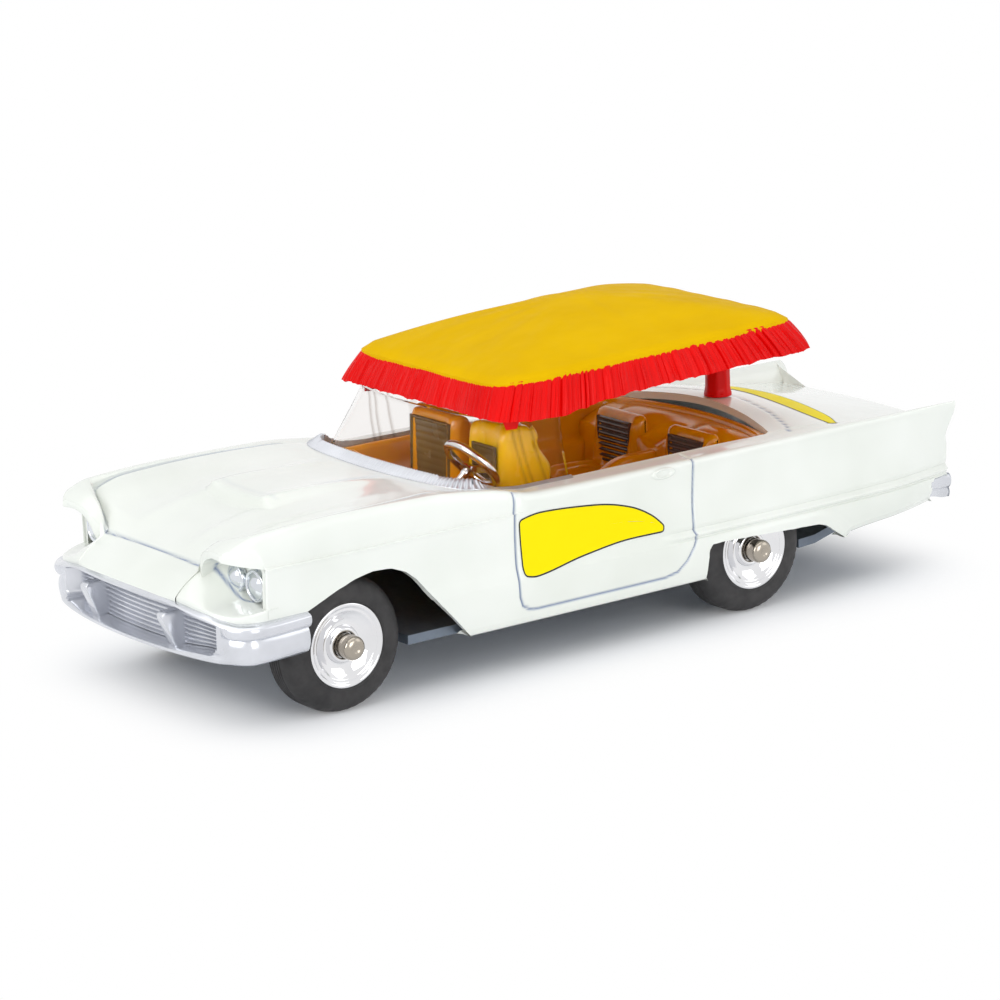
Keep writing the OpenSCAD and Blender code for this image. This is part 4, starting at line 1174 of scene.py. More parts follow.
def build_fringe(material):
    """Pleated skirt of the canopy, flared outwards, with an uneven hem."""
    n = 1440
    angles, total = outline_angles(n, -0.4)
    s = np.linspace(0, total, n, endpoint=False)
    rng = np.random.default_rng(7)
    # pleats of uneven width, as one wave whose pitch drifts along the edge
    steps = rng.uniform(0.55, 1.5, int(total / 0.95) + 6)
    marks = np.cumsum(steps)
    marks = marks[marks < total - 0.4] * total / marks[marks < total - 0.4][-1]
    marks = np.concatenate([[0], marks])
    which = np.searchsorted(marks, s, side="right") - 1
    which = np.clip(which, 0, len(marks) - 2)
    u = (s - marks[which]) / (marks[which + 1] - marks[which])
    side = 1 - ramp(np.cos(angles), 0.80, 0.90)
    depth = (0.08 + 0.62 * rng.uniform(0, 1, len(marks))**1.6)[which] * (0.18 + 0.82 * side)
    fine = 0.05 * np.sin(2 * math.pi * s / 0.37
                         + 3 * np.sin(s * 1.7)) + 0.03 * np.sin(2 * math.pi * s / 0.23 + 2 * np.sin(s * 2.9))
    pleat = depth * (np.abs(np.sin(math.pi * u))**0.6 - 0.55) + fine
    hem = np.interp(s, marks, rng.uniform(-0.14, 0.16, len(marks))) + 0.10 * np.sin(math.pi * u)
    levels = np.linspace(0, 1, 15)
    rows = []
    for t in levels:
        grow = -FRINGE_FLARE * t**1.15 - 0.32 + 0.25 * (1 - t)
        x, y = ring_xy(angles, grow, 15 - 4 * t)
        dx, dy = x - CANOPY_X, y
        nx = np.sign(dx) * np.abs(dx / CANOPY_HALF_X)**8 / CANOPY_HALF_X
        ny = np.sign(dy) * np.abs(dy / CANOPY_HALF_Y)**8 / CANOPY_HALF_Y
        ln = np.hypot(nx, ny) + 1e-9
        nx, ny = nx / ln, ny / ln
        amount = pleat * (0.25 + 0.75 * math.sin(math.pi * min(1, 0.12 + 0.62 * (1 - t)))) * (1 if t < 0.9
                                                                                              else 0.6)
        lower = (1 - t)**3
        sag = 0.85 * np.exp(-((x - 6.5) / 6.0)**2) * np.clip(np.abs(y) / CANOPY_HALF_Y * 4 - 3, 0, 1)
        z = CANOPY_Z + 0.16 + FRINGE_HEIGHT * t + canopy_rise(x) + hem * lower * 0.8 - sag * (1 - t)
        rows.append(np.stack([x + nx * amount, y + ny * amount, z], -1))
    # rolled upper edge and the inside
    x, y = ring_xy(angles, -FRINGE_FLARE - 0.55, 11)
    rows.append(np.stack([x, y, CANOPY_Z + FRINGE_HEIGHT + 0.28 + canopy_rise(x)], -1))
    x, y = ring_xy(angles, -FRINGE_FLARE - 1.1, 11)
    rows.append(np.stack([x, y, CANOPY_Z + FRINGE_HEIGHT + 0.15 + canopy_rise(x)], -1))
    for t in (0.8, 0.5, 0.2, 0.02):
        x, y = ring_xy(angles, -FRINGE_FLARE * t - 1.0, 15 - 4 * t)
        rows.append(np.stack([x, y, CANOPY_Z + 0.2 + FRINGE_HEIGHT * t + canopy_rise(x)], -1))
    rows = np.array(rows)
    return make_object("fringe_red", rows.reshape(-1, 3),
                       grid_faces(len(rows), n, close_rows=True, close_cols=True),
                       "car", material, sharp=55)


def dome_height(r):
    """Rise of the canopy towards its middle, r from 0 in the middle to 1 at the rim."""
    return DOME * (1 - np.power(r, 1.75)) * (1 - 0.10 * r)


def build_dome(material):
    """Yellow sheet with soft ridges that run out from its middle, and a wavy edge over the fringe."""
    n, m = 480, 46
    rim_angles = outline_angles(n, -FRINGE_FLARE - 0.1, 10)[0]
    rng = np.random.default_rng(11)
    wave = np.zeros(n)
    for k in range(3, 30):
        wave += rng.normal() / k**0.6 * np.cos(2 * math.pi * k * np.arange(n) / n + rng.uniform(0, 6.28))
    wave *= 0.12 / np.abs(wave).max()
    ridges = [math.radians(a) for a in (0, 27, 48, 90, 132, 153, 180, 207, 228, 270, 312, 333)]
    top, under = [], []
    for j in range(m + 1):
        r = (j / m)
        e = ring_xy(rim_angles, -FRINGE_FLARE - 0.12, 2 + 9.0 * r**1.6)
        x = CANOPY_X + (e[0] - CANOPY_X) * r * (1 + wave / 40 * r**3)
        y = e[1] * r * (1 + wave / 30 * r**3)
        true = np.arctan2(y / CANOPY_HALF_Y, (x - CANOPY_X) / CANOPY_HALF_X + 1e-9)
        ridge = np.zeros(n)
        for a in ridges:
            d = np.angle(np.exp(1j * (true - a)))
            spread = 0.035 / max(r, 0.12) + 0.05
            ridge += np.exp(-(d / spread)**2)
        sag = -0.07 * np.sin(math.pi * min(r * 1.02, 1)) * (1 - np.clip(ridge, 0, 1))
        z = (CANOPY_Z + FRINGE_HEIGHT + 0.42 + canopy_rise(x) + dome_height(r) + sag
             + 0.035 * ridge * math.sin(math.pi * min(1, r * 0.95)))
        z = z - 0.35 * ramp(r, 0.955, 1.0) + wave * 0.5 * r**6
        top.append(np.stack([x, y, z], -1))
        under.append(np.stack([x, y, z - 0.75 + 0.3 * ramp(r, 0.94, 1.0)], -1))
    verts = np.array(top + under[::-1])
    faces = grid_faces(len(verts), n, close_cols=True)
    return make_object("canopy_sheet_yellow", verts.reshape(-1, 3), faces, "car", material,
                       sharp=50)


def build_post(material):
    low, high = box_mm("canopy_post")
    x, z0, z1 = (low[0] + high[0]) / 2, low[2], high[2]
    radius = (high[0] - low[0]) / 2
    profile = [(0, z0), (radius, z0), (radius, z0 + 0.3), (radius - 0.12, z0 + 0.42),
               (radius - 0.22, z0 + 1.0), (radius - 0.26, z0 + 4.0),
               (radius - 0.24, z1 - 1.2), (radius - 0.1, z1 - 0.6), (radius, z1 - 0.35), (radius, z1),
               (0, z1)]
    steps = 56
    verts = []
    for k in range(steps):
        a = 2 * math.pi * k / steps
        # slightly squared mast, as moulded
        for r, z in profile:
            q = r * (1 + 0.05 * math.cos(4 * a) ** 2)
            verts.append((x + min(q, radius) * math.cos(a), min(q, radius) * math.sin(a), z))
    return make_object("mast_red", verts, grid_faces(steps, len(profile), close_rows=True), "car",
                       material, sharp=40)


# ---------------------------------------------------------------- windscreen

FOOT_Y, HEAD_Y = HALF_CABIN - 0.15, HALF_CABIN - 1.2
GLASS_FOOT = [(CABIN_FRONT + 0.95, 0), (CABIN_FRONT + 0.8, 0.36 * FOOT_Y), (CABIN_FRONT + 0.3, 0.7 * FOOT_Y),
              (CABIN_FRONT - 0.6, 0.88 * FOOT_Y), (CABIN_FRONT - 1.9, 0.97 * FOOT_Y),
              (CABIN_FRONT - 4.5, FOOT_Y),
              (CABIN_FRONT - 14.4, FOOT_Y)]
GLASS_HEAD = [(CABIN_FRONT - 3.6, 0), (CABIN_FRONT - 3.8, 0.4 * HEAD_Y), (CABIN_FRONT - 4.5, 0.73 * HEAD_Y),
              (CABIN_FRONT - 5.4, 0.89 * HEAD_Y), (CABIN_FRONT - 6.6, 0.97 * HEAD_Y),
              (CABIN_FRONT - 9, HEAD_Y),
              (CABIN_FRONT - 13.4, HEAD_Y)]


def spline(points, n):
    """Smooth path of n points through the given ones."""
    p = np.array(points, float)
    d = np.concatenate([[0], np.cumsum(np.linalg.norm(np.diff(p, axis=0), axis=1))])
    t = np.linspace(0, d[-1], n)
    return np.stack([curve(list(zip(d, p[:, k])), t) for k in range(p.shape[1])], -1)


def build_windscreen(material):
    """Clear wrap-round moulding with raised bars at its pillars and along its edges."""
    low, high = box_mm("windscreen")
    foot, head = [[(x, -y) for x, y in reversed(t[1:])] + list(t) for t in (GLASS_FOOT, GLASS_HEAD)]
    n, m = 241, 26
    a, b = spline(foot, n), spline(head, n)
    z0, z1 = low[2] + 0.02, high[2] + 0.35
    centre = np.array([CABIN_FRONT - 14, 0.0])
    outer, inner, lines = [], [], []
    s = np.linspace(0, 1, n)
    ends = ramp(s, 0.022, 0.012) + ramp(s, 0.978, 0.988)
    for k in range(m):
        t = k / (m - 1)
        p = a + (b - a) * t
        top_x = p[:, 0] + 0.18 * math.sin(math.pi * t) - 0.7 * t * ramp(np.abs(s - 0.5), 0.3, 0.5)
        pillar = np.zeros(n)
        for head_at, foot_at in ((0.852, 0.898), (0.870, 0.913), (0.905, 0.946)):
            q = foot_at + (head_at - foot_at) * t
            pillar += np.exp(-((s - q) / 0.0036)**2) + np.exp(-((s - 1 + q) / 0.0036)**2)
        p = np.stack([top_x, p[:, 1]], -1)
        q = p - centre
        inward = -q / np.linalg.norm(q, axis=1, keepdims=True)
        frame_ = float(ramp(t, 0.955, 0.985))
        thick = 0.34 + 0.05 * np.clip(pillar + ends + frame_, 0, 1)
        z = z0 + (z1 - z0) * t - 0.55 * t * ramp(np.abs(s - 0.5), 0.36, 0.5)
        out = p + inward * 0.12
        raised = out - inward * (0.11 * np.clip(pillar, 0, 1) + 0.05 * np.clip(frame_ + ends, 0, 1))[:, None]
        back = out + inward * thick[:, None]
        # the rear corners are cut back a little and rounded
        lines.append(np.clip(pillar + 0.45 * ends + 0.3 * frame_, 0, 1))
        outer.append(np.concatenate([raised, z[:, None]], 1))
        inner.append(np.concatenate([back, z[:, None]], 1))
    rows = np.array(outer + inner[::-1])
    faces = grid_faces(len(rows), n, close_rows=True)
    for col in (0, n - 1):
        for k in range(m - 1):
            i, j = k * n + col, (2 * m - 1 - k) * n + col
            faces.append((i, i + n, j - n, j))
    glass = make_object("windscreen_clear", rows.reshape(-1, 3), faces, "car", material,
                        sharp=45)
    # painted shade along the pillar bars, ends and top edge, read by the clear material's 'line' attribute
    edge_painted_shade = glass.data.attributes.new("line", "FLOAT", "POINT")
    edge_painted_shade.data.foreach_set("value", np.concatenate([np.ravel(lines), np.zeros(n * m)]).astype(np.float32))
    glass.visible_shadow = False
    return glass


def build_tabs(material):
    """Red tongues of the canopy that grip the windscreen's upper corners."""
    objs = []
    head = spline([(x, -y) for x, y in reversed(GLASS_HEAD[1:])] + GLASS_HEAD, 241)
    z1 = box_mm("windscreen")[1][2]
    for name, lo, hi in (("left", 199, 213), ("right", 27, 41)):
        pts = head[lo:hi + 1]
        c = np.array([CABIN_FRONT - 14, 0.0])
        rows = []
        for z, drop in ((z1 + 1.4, 0.0), (z1 + 0.25, 0.0), (z1 - 0.35, 0.6), (z1 - 0.95, 1.0)):
            k = np.linspace(-1, 1, len(pts))
            shrink = 1 - 0.45 * drop
            mid = pts[len(pts) // 2]
            q = mid + (pts - mid) * shrink
            d = q - c
            u = d / np.linalg.norm(d, axis=1, keepdims=True)
            rows.append(np.concatenate([q + u * 0.30, np.full((len(q), 1), z)], 1))
        inner = [np.concatenate([r[:, :2] - (r[:, :2] - c) / np.linalg.norm(r[:, :2] - c, axis=1,
                                                                            keepdims=True) * 0.28,
                                 r[:, 2:]], 1) for r in rows]
        grid = np.array(rows + inner[::-1])
        faces = grid_faces(len(grid), grid.shape[1], close_rows=True)
        m = len(rows)
        w = grid.shape[1]
        for col in (0, w - 1):
            for k in range(m - 1):
                faces.append((k * w + col, (k + 1) * w + col, (2 * m - 2 - k) * w + col,
                              (2 * m - 1 - k) * w + col))
        objs.append(make_object(f"canopy_tab_{name}", grid.reshape(-1, 3), faces, "car",
                                material, sharp=40))
    return objs


# ---------------------------------------------------------------- interior

FLOOR = 10.0
WELL_Y = 12.2


def inner_ring(inset, z, limit=None, n=160):
    """A ring of points inside the cabin's outline."""
    pts = np.array(cabin_outline(-0.1 - inset))
    d = np.concatenate([[0], np.cumsum(np.linalg.norm(np.diff(np.vstack([pts, pts[:1]]), axis=0), axis=1))])
    loop = np.vstack([pts, pts[:1]])
    t = np.linspace(0, d[-1], n, endpoint=False)
    x, y = np.interp(t, d, loop[:, 0]), np.interp(t, d, loop[:, 1])
    if limit:
        y = np.clip(y, -limit, limit)
    return np.stack([x, y, np.full(n, z) if np.isscalar(z) else z(x, y)], -1)


def build_tub(material):
    """Moulded orange interior: rolled rim, walls, wheel-arch step and floor in one shell."""
    rim = TUB_TOP + 0.18
    rows = [inner_ring(0.02, 17.4), inner_ring(0.0, rim - 0.12), inner_ring(0.08, rim),
            inner_ring(0.3, rim + 0.1),
            inner_ring(0.62, rim + 0.06), inner_ring(0.84, rim - 0.12), inner_ring(0.95, rim - 0.5),
            inner_ring(1.05, 17.2),
            inner_ring(1.2, 15.8), inner_ring(1.5, 15.25, 12.7), inner_ring(2.1, 15.0, WELL_Y),
            inner_ring(2.3, 14.4, WELL_Y - 0.1),
            inner_ring(2.4, 11.2, WELL_Y - 0.3), inner_ring(2.7, 10.4, WELL_Y - 0.6),
            inner_ring(3.2, 10.1, WELL_Y - 1.1)]
    middle = np.array([(CABIN_FRONT + CABIN_REAR) / 2, 0, FLOOR + 0.1])
    for t in (0.35, 0.7, 0.97):
        last = inner_ring(3.2, 10.1, WELL_Y - 1.1)
        rows.append(last + (middle - last) * t)
    rows = np.array(rows)
    return make_object("interior_shell", rows.reshape(-1, 3),
                       grid_faces(len(rows), rows.shape[1], close_cols=True),
                       "car", material, sharp=50)


def build_dash(material):
    """Dashboard: a rolled shelf under the windscreen with an instrument hump before the driver."""
    n, m = 90, 22
    rows = []
    ys = np.linspace(-13.2, 13.2, n)
    front = CABIN_FRONT + 1.0 - 1.6 * np.abs(ys / HALF_CABIN)**3 - 0.9
    hump = np.exp(-((ys - 6.2) / 2.9)**4)
    for k in range(m):
        t = k / (m - 1)
        if t < 0.5:
            u = t / 0.5
            x = front - 3.9 * u
            z = TUB_TOP + 0.25 + (0.42 + 0.25 * hump) * math.sin(math.pi * min(1,
                                                                               u * 0.9 + 0.1)) - 0.25 * u**3
        elif t < 0.66:
            u = (t - 0.5) / 0.16
            x = front - 3.9 - 0.35 * math.sin(math.pi / 2 * u)
            z = TUB_TOP + 0.13 - 0.7 * (1 - math.cos(math.pi / 2 * u))
        else:
            u = (t - 0.66) / 0.34
            x = front - 4.25 + 0.9 * u
            z = TUB_TOP - 0.57 - 3.6 * u
        rows.append(np.stack([x, ys, np.broadcast_to(z, ys.shape)], -1))
    rows = np.array(rows)
    return make_object("dashboard_orange", rows.reshape(-1, 3), grid_faces(m, n), "car",
                       material, sharp=50)


def seat_profile(x, top, cushion, back, rear=None):
    """Side view of a seat from the cushion's front foot over the back to its rear foot."""
    base = FLOOR + 0.05
    pts = [(x + cushion, base), (x + cushion, base + 1.6), (x + cushion - 0.25, base + 2.5),
           (x + cushion - 0.9, base + 3.0),
           (x + cushion * 0.5, base + 2.95), (x + 0.9, base + 2.7), (x + 0.35, base + 3.2),
           (x + 0.12, base + 4.6),
           (x - 0.02, (base + top) / 2 + 1), (x - 0.15, top - 1.6), (x - 0.45, top - 0.5),
           (x - 0.95, top - 0.06),
           (x - min(1.4, back * 0.7), top - 0.02)]
    if rear is None:
        pts += [(x - back + 0.2, top - 0.5), (x - back, top - 1.6), (x - back, base + 4), (x - back, base)]
    else:
        pts += rear
    return pts


def build_seat(name, x, y, w, top, cushion, back, material, rear=None, bolster=0.5):
    """A moulded seat: rounded edges, soft side bolsters and a dished middle."""
    prof = spline(seat_profile(x, top, cushion, back, rear), 84)
    t = np.gradient(prof, axis=0)
    n2 = np.stack([t[:, 1], -t[:, 0]], -1)
    n2 /= np.linalg.norm(n2, axis=1, keepdims=True)
    centre = prof.mean(axis=0)
    if np.sum((prof - centre) * n2) < 0:
        n2 = -n2
    cols = np.concatenate([[-1, -0.985, -0.96, -0.92], np.linspace(-0.87, 0.87, 37), [0.92, 0.96, 0.985, 1]])
    radius = 0.75
    rows = []
    for c in cols:
        e = max(0.0, (abs(c) - 0.80) / 0.20)
        inset = radius * (1 - math.sqrt(max(0.0, 1 - e * e)))
        soft = bolster * math.exp(-((abs(c) - 0.74) / 0.16)**2)
        sitting = np.clip((prof[:, 0] - (x - 0.7)) / 0.8, 0, 1) * np.clip((prof[:, 1] - FLOOR - 1.5) / 1.0,
                                                                          0, 1)
        dish = -0.12 * (1 - min(1, abs(c) / 0.6)**2)
        p = prof - n2 * inset + n2 * ((soft + dish) * sitting)[:, None]
        rows.append(np.stack([p[:, 0], np.full(len(p), y + c * w / 2), p[:, 1]], -1))
    rows = np.array(rows)
    a, m = rows.shape[:2]
    faces = grid_faces(a, m, close_cols=True)
    faces += [tuple(range(m)), tuple((a - 1) * m + j for j in range(m - 1, -1, -1))]
    obj = make_object(name, rows.reshape(-1, 3), faces, "car", material, sharp=60)
    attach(obj, "car")
    return obj


def build_insert(name, x, y, w, z0, z1, ribs, lean, material, high=0.4):
    """Ribbed panel on a seat back, with a raised border."""
    n = 22
    zs, off = [], []
    border = 0.35
    zs += [z0, z0 + 0.03, z0 + border * 0.8, z0 + border]
    off += [0.0, 0.32, 0.32, 0.1]
    pitch = (z1 - z0 - 2 * border) / ribs
    for k in range(ribs):
        for f, d in ((0.08, 0.15), (0.2, 0.6), (0.35, 0.9), (0.5, 1.0), (0.65, 0.9), (0.8, 0.6),
                     (0.92, 0.15)):
            zs.append(z0 + border + pitch * (k + f))
            off.append(0.02 + d * high)
    zs += [z1 - border, z1 - border * 0.8, z1 - 0.03, z1]
    off += [0.1, 0.32, 0.32, 0.0]
    ys = np.concatenate([[-1, -0.99, -0.91], np.linspace(-0.88, 0.88, n), [0.91, 0.99, 1]]) * w / 2
    rows = []
    for z, o in zip(zs, off):
        row = []
        for q in ys:
            a = abs(q) / (w / 2)
            depth = o if a < 0.89 else (0.32 if a < 0.995 else 0.0)
            if a < 0.89 and 0.05 < o < 0.42:
                depth = o * (1 - 0.25 * (a / 0.89)**6)
            row.append((x + depth - lean * (z - z0), y + q, z))
        rows.append(row)
    rows = np.array(rows)
    return make_object(name, rows.reshape(-1, 3), grid_faces(*rows.shape[:2]), "car",
                       material, sharp=60)


def build_console(material):
    """Raised tunnel between the seats that runs back into the rear shelf."""
    ys = np.linspace(-1, 1, 27)
    xs = np.linspace(CABIN_REAR + 3.0, CABIN_FRONT - 5, 60)
    rows = []
    for x in xs:
        top = FLOOR + 2.2 + 3.6 * float(ramp(x, -6, -15)) + 0.9 * float(ramp(x, 4, 12))
        half = 1.6
        rows.append([(x, q * half * (1 - 0.15 * (1 - abs(q))),
                      FLOOR + (top - FLOOR) * (1 - abs(q)**5) + 0.02) for q in ys])
    rows = np.array(rows)
    return make_object("console_orange", rows.reshape(-1, 3), grid_faces(*rows.shape[:2]), "car",
                       material, sharp=55)


def build_rear_shelf(material):
    """Shelf behind the rear seats, folded up to meet the tub's rim."""
    n = 61
    ys = np.linspace(-13.1, 13.1, n)
    rear = CABIN_REAR + 2.5 - 2.6 * (1 - (ys / HALF_CABIN)**2) + 1.1
    rows = []
    for t in np.linspace(0, 1, 24):
        x = rear * (1 - t) + np.minimum(rear + 6.5, -18.9) * t
        bulge = 0.9 * np.exp(-((np.abs(ys) - 6.4) / 3.4)**4) * math.sin(math.pi * min(1, t * 1.1))
        notch = -0.9 * np.exp(-(ys / 1.5)**4) * ramp(t, 0.35, 0.6)
        z = TUB_TOP - 0.25 - 1.6 * t**1.2 + bulge * 0.8 + notch
        rows.append(np.stack([x, ys, z], -1))
    rows.append(np.stack([rows[-1][:, 0] + 0.3, ys, rows[-1][:, 2] - 0.5], -1))
    rows.append(np.stack([rows[-1][:, 0] + 0.2, ys, np.full(n, 12.5)], -1))
    rows = np.array(rows)
    return make_object("rear_shelf_orange", rows.reshape(-1, 3), grid_faces(*rows.shape[:2]), "car",
                       material, sharp=55)


def build_steering(material):
    """Plated steering wheel with a flat three-armed spoke and a hub, and its column."""
    low, high = box_mm("steering_wheel")
    centre = Vector(((low + high) / 2).tolist())
    turn = Matrix.Rotation(math.radians(40 - 90), 4, "Y")
    radius, tube = (high[1] - low[1]) / 2 - 0.5, 0.5
    verts, faces = [], []
    steps, ring = 72, 14
    for i in range(steps):
        a = 2 * math.pi * i / steps
        for j in range(ring):
            b = 2 * math.pi * j / ring
            grip = 0.02 * math.cos(a * 24) * (1 if math.cos(b) < 0 else 0)
            r = radius + (tube + grip) * math.cos(b)
            verts.append((r * math.cos(a), r * math.sin(a), tube * math.sin(b)))
    faces += grid_faces(steps, ring, close_rows=True, close_cols=True)

    def strip(a0, length, w0, w1):
        """A flat bevelled arm from the hub to the rim."""
        start = len(verts)
        c, s_ = math.cos(a0), math.sin(a0)
        sections = 6
        for k in range(sections):
            t = k / (sections - 1)
            d = 0.4 + (length - 0.4) * t
            w = w0 + (w1 - w0) * t
            for u, h in ((-1, -0.12), (-1, 0.08), (-0.75, 0.2), (0.75, 0.2), (1, 0.08), (1, -0.12)):
                verts.append((d * c - u * w * s_, d * s_ + u * w * c, h - 0.55 * (1 - t)))
        faces.extend(grid_faces(sections, 6, close_cols=True, start=start))

    strip(math.radians(90), radius, 0.55, 0.42)
    strip(math.radians(-90), radius, 0.55, 0.42)
    strip(math.radians(180), radius, 0.5, 0.36)
    start = len(verts)
    hub = [(0.0, -0.1), (0.35, -0.12), (0.8, -0.25), (0.98, -0.5), (0.98, -0.95), (0.6, -1.05), (0.0, -1.05)]
    for k in range(32):
        a = 2 * math.pi * k / 32
        for r, h in hub:
            verts.append((r * math.cos(a), r * math.sin(a), h))
    faces.extend(grid_faces(32, len(hub), close_rows=True, start=start))
    placed = [tuple(centre + turn @ Vector(v)) for v in verts]
    wheel = make_object("steering_wheel_plated", placed, faces, "car", material, sharp=50)
    # the column, tapered and collared
    low, high = box_mm("steering_column")
    length = 4.6
    profile = [(0.0, -0.85), (0.42, -0.85), (0.5, -1.1), (0.5, -1.5), (0.4, -1.6), (0.4, -length + 0.7),
               (0.45, -length), (0.0, -length)]
    cv = []
    for k in range(28):
        a = 2 * math.pi * k / 28
        for r, h in profile:
            cv.append(tuple(centre + turn @ Vector((r * math.cos(a), r * math.sin(a), h))))
    column = make_object("steering_column_plated", cv, grid_faces(28, len(profile), close_rows=True), "car",
                         material, sharp=50)
    return wheel, column


# ---------------------------------------------------------------- applied to the body

def surface_of(obj):
    """Search tree over a piece's faces, in metres."""
    from mathutils.bvhtree import BVHTree
    bpy.context.view_layer.update()
    return BVHTree.FromPolygons([v.co.copy() for v in obj.data.vertices],
                                [tuple(p.vertices) for p in obj.data.polygons])


def drop(tree, origin, direction):
    """Where a ray from origin (mm) meets the surface, or None."""
    hit = tree.ray_cast(Vector(origin) * MM, Vector(direction))
    return (np.array(hit[0]) / MM) if hit[0] is not None else None


def label(name, outline, tree, lift, to_world, direction, yellow, black, line=0.17):
    """A thin printed label that follows the surface: yellow with a thin black border."""
    path = rounded(outline, 0.5, 4)
    pts = np.array(path + path[:1])
    d = np.concatenate([[0], np.cumsum(np.linalg.norm(np.diff(pts, axis=0), axis=1))])
    n = 170
    t = np.linspace(0, d[-1], n, endpoint=False)
    edge = np.stack([np.interp(t, d, pts[:, 0]), np.interp(t, d, pts[:, 1])], -1)
    tangent = np.roll(edge, -1, axis=0) - np.roll(edge, 1, axis=0)
    normal = np.stack([-tangent[:, 1], tangent[:, 0]], -1)
    normal /= np.linalg.norm(normal, axis=1, keepdims=True)
    if inside_path((edge + normal * 0.05)[:1, 0], (edge + normal * 0.05)[:1, 1],
                   list(map(tuple, edge)))[0] == False:
        normal = -normal
    rings = [edge, edge + normal * line]
    spine_lo, spine_hi = edge[:, 0].min() + 1.2, edge[:, 0].max() - 1.2
    inner = rings[1]
    sx = np.clip(inner[:, 0], spine_lo, spine_hi)
    mid = []
    for x in sx:
        near = np.abs(inner[:, 0] - x) < 0.8
        mid.append((inner[near, 1].min() + inner[near, 1].max()) / 2 if near.any() else inner[:, 1].mean())
    spine = np.stack([sx, np.array(mid)], -1)
    for w in (0.12, 0.26, 0.42, 0.58, 0.74, 0.9, 1.0):
        rings.append(inner + (spine - inner) * w)
    verts = []
    for r in rings:
        for a, b in r:
            origin = to_world(a, b)
            hit = drop(tree, origin, direction)
            p = hit if hit is not None else np.array(origin) + np.array(direction) * 5
            verts.append(tuple(p - np.array(direction) * lift))
    faces = grid_faces(len(rings), n, close_cols=True)
    mesh_obj = make_object(name, verts, faces, "car", black, sharp=None)
    mesh_obj.data.materials.append(yellow)
    return mesh_obj, rings[1]


def paint_label(obj, inner_path, axis_a, axis_b):
    """Yellow inside the border, black outside."""
    path = [tuple(p) for p in inner_path]
    for poly in obj.data.polygons:
        c = np.array(poly.center) / MM
        a, b = np.array([c[axis_a]]), np.array([c[axis_b]])
        poly.material_index = 1 if inside_path(a, b, path)[0] else 0


def edge_line(points, start, end, steps):
    """A label's edge: a smooth curve through a few points, followed from start to end."""
    places = np.linspace(start, end, steps)
    return [(float(p), float(v)) for p, v in zip(places, curve(points, places))]


# door label in side view (x, z), with a straight front end
DOOR_LABEL_TOP = [(-6.1, 12.8), (-5.4, 13.6), (-1.5, 15.7), (3, 16.7), (11, 17.25), (13.5, 16.8)]
DOOR_LABEL_FOOT = [(-5.9, 12.05), (-1.5, 12.1), (5, 11.5), (12.6, 10.4), (13.3, 10.7)]
DOOR_LABEL = edge_line(DOOR_LABEL_TOP, 13.5, -6.1, 16) + edge_line(DOOR_LABEL_FOOT, -5.9, 13.3,
                                                                   16) + [(13.5, 11.6)]

# deck label seen from above: its rear and front edge (y, x), and the corner at its right end
DECK_LABEL_REAR = [(-7, -37.5), (-4.5, -36.9), (2.5, -36.7), (11, -35.8), (14.7, -34.2)]
DECK_LABEL_FRONT = [(-4.8, -34.2), (5, -33.2), (10, -33), (14.5, -33.3)]
DECK_LABEL = [(-36.5, -7.6)]
DECK_LABEL += [(x, y) for y, x in edge_line(DECK_LABEL_REAR, -7, 14.7, 18)]
DECK_LABEL += [(x, y) for y, x in edge_line(DECK_LABEL_FRONT, 14.5, -4.8, 16)]


def build_vent_strip(tree, material):
    """Ribbed strip that runs round the foot of the windscreen."""
    foot = spline([(x, -y) for x, y in reversed(GLASS_FOOT[1:])] + GLASS_FOOT, 1100)
    t = np.gradient(foot, axis=0)
    n = np.stack([t[:, 1], -t[:, 0]], -1)
    n /= np.linalg.norm(n, axis=1, keepdims=True)
    if n[550, 0] < 0:
        n = -n
    length = np.concatenate([[0], np.cumsum(np.linalg.norm(np.diff(foot, axis=0), axis=1))])
    profile = [(0.12, -0.3), (0.12, 0.75), (0.2, 0.9), (0.4, 0.92), (0.7, 0.78), (1.1, 0.52), (1.5, 0.24),
               (1.75, 0.05), (1.8, -0.25)]
    rows = []
    for k in range(len(foot)):
        front = float(ramp(foot[k][0], CABIN_FRONT - 4.5, CABIN_FRONT - 1.5))
        wide = 0.42 + 0.58 * front
        tooth = 0.5 + 0.5 * math.cos(2 * math.pi * length[k] / 0.42)
        ring = []
        for d, h in profile:
            p = foot[k] + n[k] * d * wide
            hit = drop(tree, (p[0], p[1], 30), (0, 0, -1))
            z = hit[2] if hit is not None else TUB_TOP + 0.3 + 1.2 * front
            z = max(z, TUB_TOP + 0.2)
            lift = h * (1 if h < 0 else (0.25 + 0.75 * front))
            if 0.15 < d < 1.6:
                lift -= 0.2 * tooth * front
            ring.append((p[0], p[1], z + lift))
        rows.append(ring)
    rows = np.array(rows)
    a, m = rows.shape[:2]
    faces = grid_faces(a, m, close_cols=True)
    faces += [tuple(range(m)), tuple((a - 1) * m + j for j in range(m - 1, -1, -1))]
    return make_object("cowl_vent_ribs", rows.reshape(-1, 3), faces, "car", material, sharp=40)


